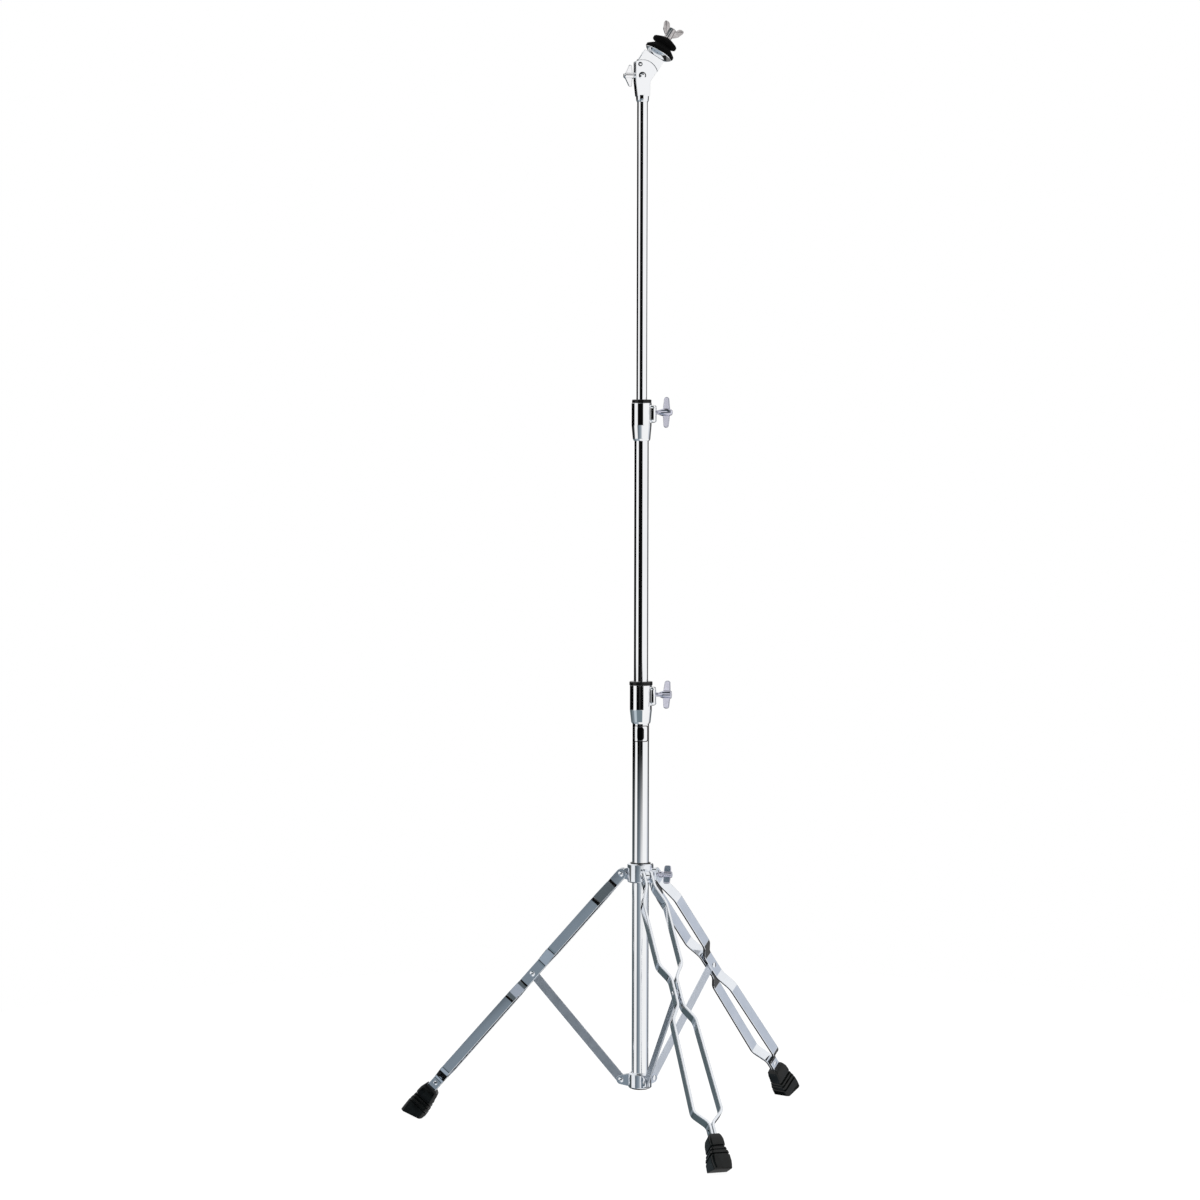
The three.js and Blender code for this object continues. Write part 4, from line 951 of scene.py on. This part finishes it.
studio = {
    # angles in degrees, distance, height and floorRadius in millimetres
    "azimuth": 11.285, "pitch": 2.328, "yaw": 0.677, "roll": -0.124, "distance": 5200, "height": 990.7,
    "lens": 105.77, "sensor": 36, "shift": -0.03, "farthest": 50, "sky": 0.75,
    "floorRadius": 1500, "floorTone": 0.85, "glow": 1.08, "glowShare": 0.88,
    # what bright metal sees, in layers from the ground up: where a layer takes over from the one below
    # (Z of a direction), and its tones by degrees to the right of the camera
    "layers": [
        (-1, -0.99, [
            (-124, grey(0.02)), (-118, (0.09, 0.12, 0.13, 1)), (-110, (0.09, 0.12, 0.13, 1)),
            (-104, (0.34, 0.40, 0.46, 1)), (-40, (0.34, 0.40, 0.46, 1)), (-28, grey(1)), (118, grey(1)),
            (126, grey(0.2)),
        ]),
        (-0.5, -0.46, [
            (-112, (0.09, 0.12, 0.13, 1)), (-106, grey(0.02)), (-34, grey(0.02)), (-28, grey(1)),
            (118, grey(1)), (126, grey(0.2)),
        ]),
        (-0.42, -0.38, [
            (-128, (0.20, 0.24, 0.27, 1)), (-84, (0.20, 0.24, 0.27, 1)), (-74, (0.50, 0.57, 0.62, 1)),
            (-49, (0.50, 0.57, 0.62, 1)), (-44, (0.18, 0.23, 0.26, 1)), (13, (0.18, 0.23, 0.26, 1)),
            (19, grey(1)), (104, grey(1)), (110, grey(0.1)),
        ]),
        (-0.215, -0.205, [
            (-164, (0.50, 0.56, 0.62, 1)), (-156, (0.11, 0.14, 0.15, 1)), (-112, (0.11, 0.14, 0.15, 1)),
            (-104, grey(0.03)), (-98, grey(0.03)), (-88, grey(1)), (-53, grey(1)),
            (-47, (0.10, 0.12, 0.14, 1)), (-33, (0.20, 0.24, 0.28, 1)), (-18, (0.26, 0.31, 0.35, 1)),
            (-6, (0.42, 0.46, 0.50, 1)), (8, grey(1)), (86, grey(1)), (94, (0.58, 0.62, 0.69, 1)),
            (112, (0.58, 0.62, 0.69, 1)), (124, grey(0.1)), (146, grey(0.1)), (154, (0.50, 0.56, 0.62, 1)),
        ]),
        (-0.131, -0.094, [
            (-164, grey(1)), (-160, grey(0.002)), (-84, grey(0.002)), (-80, grey(1)), (-50, grey(1)),
            (-46, grey(0.002)), (-20, grey(0.002)), (-17, grey(0.03)), (-7, grey(0.03)), (-4, grey(0.002)),
            (24, grey(0.002)), (29, grey(1)), (104, grey(1)), (110, grey(0.08)), (148, grey(0.08)),
            (154, grey(1)),
        ]),
        (-0.074, -0.068, [
            (-164, grey(1)), (-160, grey(0.003)), (-89, grey(0.003)), (-86, grey(1)), (-47, grey(1)),
            (-45, grey(0.003)), (15, grey(0.003)), (18, grey(1)), (104, grey(1)), (110, grey(0.1)),
            (148, grey(0.1)), (154, grey(1)),
        ]),
        (0.14, 0.18, [
            (-12, grey(1)), (-8, (0.11, 0.13, 0.14, 1)), (11, (0.11, 0.13, 0.14, 1)),
            (16, (0.39, 0.43, 0.49, 1)), (21, (0.39, 0.43, 0.49, 1)), (25, grey(0.05)), (40, grey(0.05)),
            (46, grey(1)), (112, grey(1)), (118, grey(0.2)),
        ]),
        (0.60, 0.64, [
            (-84, grey(1)), (-78, (0.10, 0.16, 0.18, 1)), (8, (0.10, 0.16, 0.18, 1)), (14, grey(1)),
        ]),
        (0.80, 0.84, [(-84, grey(1)), (-78, grey(0.03)), (48, grey(0.03)), (56, grey(1))]),
        (0.95, 0.98, [(0, grey(0.08))]),
    ],
    # name, degrees to the right of the camera, height and size in metres, and power
    "lamps": [("keyLamp", -50, 2.6, 1.6, 50), ("fillLamp", 48, 1.8, 1.6, 30), ("topLamp", 0, 3.2, 1.2, 20)],
    "lampDistance": 3.0, "aimHeight": 0.7,  # in metres too
}


def inSky(graph, look):  # what glossy rays see: a white room with dark flags
    towards = math.radians(look["azimuth"] - 90)
    x, y, z = graph.split(graph.add("ShaderNodeTexCoord", output="Generated"))
    ahead = x * math.cos(towards) + y * math.sin(towards)
    aside = y * math.cos(towards) - x * math.sin(towards)
    angle = aside.math("ARCTAN2", ahead) * (180 / math.pi)
    share = graph.spread(angle, -180, 180)
    color = None
    for start, end, tones in look["layers"]:
        layer = graph.ramp(share, [((degrees + 180) / 360, tone) for degrees, tone in tones])
        color = graph.blend(graph.spread(z, start, end), color, layer) if color else layer
    return color


def buildStudio(look):
    world = bpy.data.worlds.new("studio")
    bpy.context.scene.world = world
    graph = Graph(world)
    isCamera, isGlossy = graph.rays()
    room = graph.blend(isGlossy, grey(look["sky"]), inSky(graph, look))
    color = graph.blend(isCamera, room, grey(1))
    back = graph.add("ShaderNodeBackground", {}, {"Color": color, "Strength": 1.0})
    graph.add("ShaderNodeOutputWorld", {}, {"Surface": back})

    low = cadBounds[0][2]
    clearSelection()
    bpy.ops.mesh.primitive_circle_add(vertices=96, radius=look["floorRadius"] * mm, fill_type="NGON",
                                      location=(0, 0, low))
    floor = bpy.context.object
    floor.name = "studioFloor"
    pale = bpy.data.materials.new("paleFloor")
    graph = Graph(pale)
    isCamera, isGlossy = graph.rays()
    plain = graph.add("ShaderNodeBsdfDiffuse", {}, {"Color": grey(look["floorTone"])})
    glow = graph.add("ShaderNodeEmission", {}, {"Color": grey(1), "Strength": look["glow"]})
    seen = graph.add("ShaderNodeMixShader", {}, [isCamera * look["glowShare"], plain, glow])
    clear = graph.add("ShaderNodeBsdfTransparent", {}, {"Color": grey(1)})
    graph.add("ShaderNodeOutputMaterial", {}, {
        "Surface": graph.add("ShaderNodeMixShader", {}, [isGlossy, seen, clear]),
    })
    floor.data.materials.append(pale)

    around, out = math.radians(look["azimuth"]), look["lampDistance"]
    for name, side, height, size, power in look["lamps"]:
        angle = around + math.radians(side)
        place = Vector((out * math.sin(angle), -out * math.cos(angle), height))
        bpy.ops.object.light_add(type="AREA", location=place)
        lamp = bpy.context.object
        lamp.name = name
        lamp.data.size = size
        lamp.data.energy = power
        lamp.visible_glossy = False
        aim = Vector((0, 0, look["aimHeight"])) - place
        lamp.rotation_euler = aim.to_track_quat("-Z", "Y").to_euler()

    out = look["distance"]
    place = Vector((out * math.sin(around), -out * math.cos(around), look["height"]))
    bpy.ops.object.camera_add(location=place * mm)
    camera = bpy.context.object
    camera.rotation_mode = "XYZ"
    camera.rotation_euler = (math.radians(90 - look["pitch"]), math.radians(look["roll"]),
                             math.radians(look["azimuth"] + look["yaw"]))
    camera.data.lens = look["lens"]
    camera.data.sensor_width = look["sensor"]
    camera.data.shift_y = look["shift"]
    camera.data.clip_end = look["farthest"]
    bpy.context.scene.camera = camera


buildStudio(studio)
bpy.context.scene.view_settings.view_transform = "Standard"
print("studio ready")
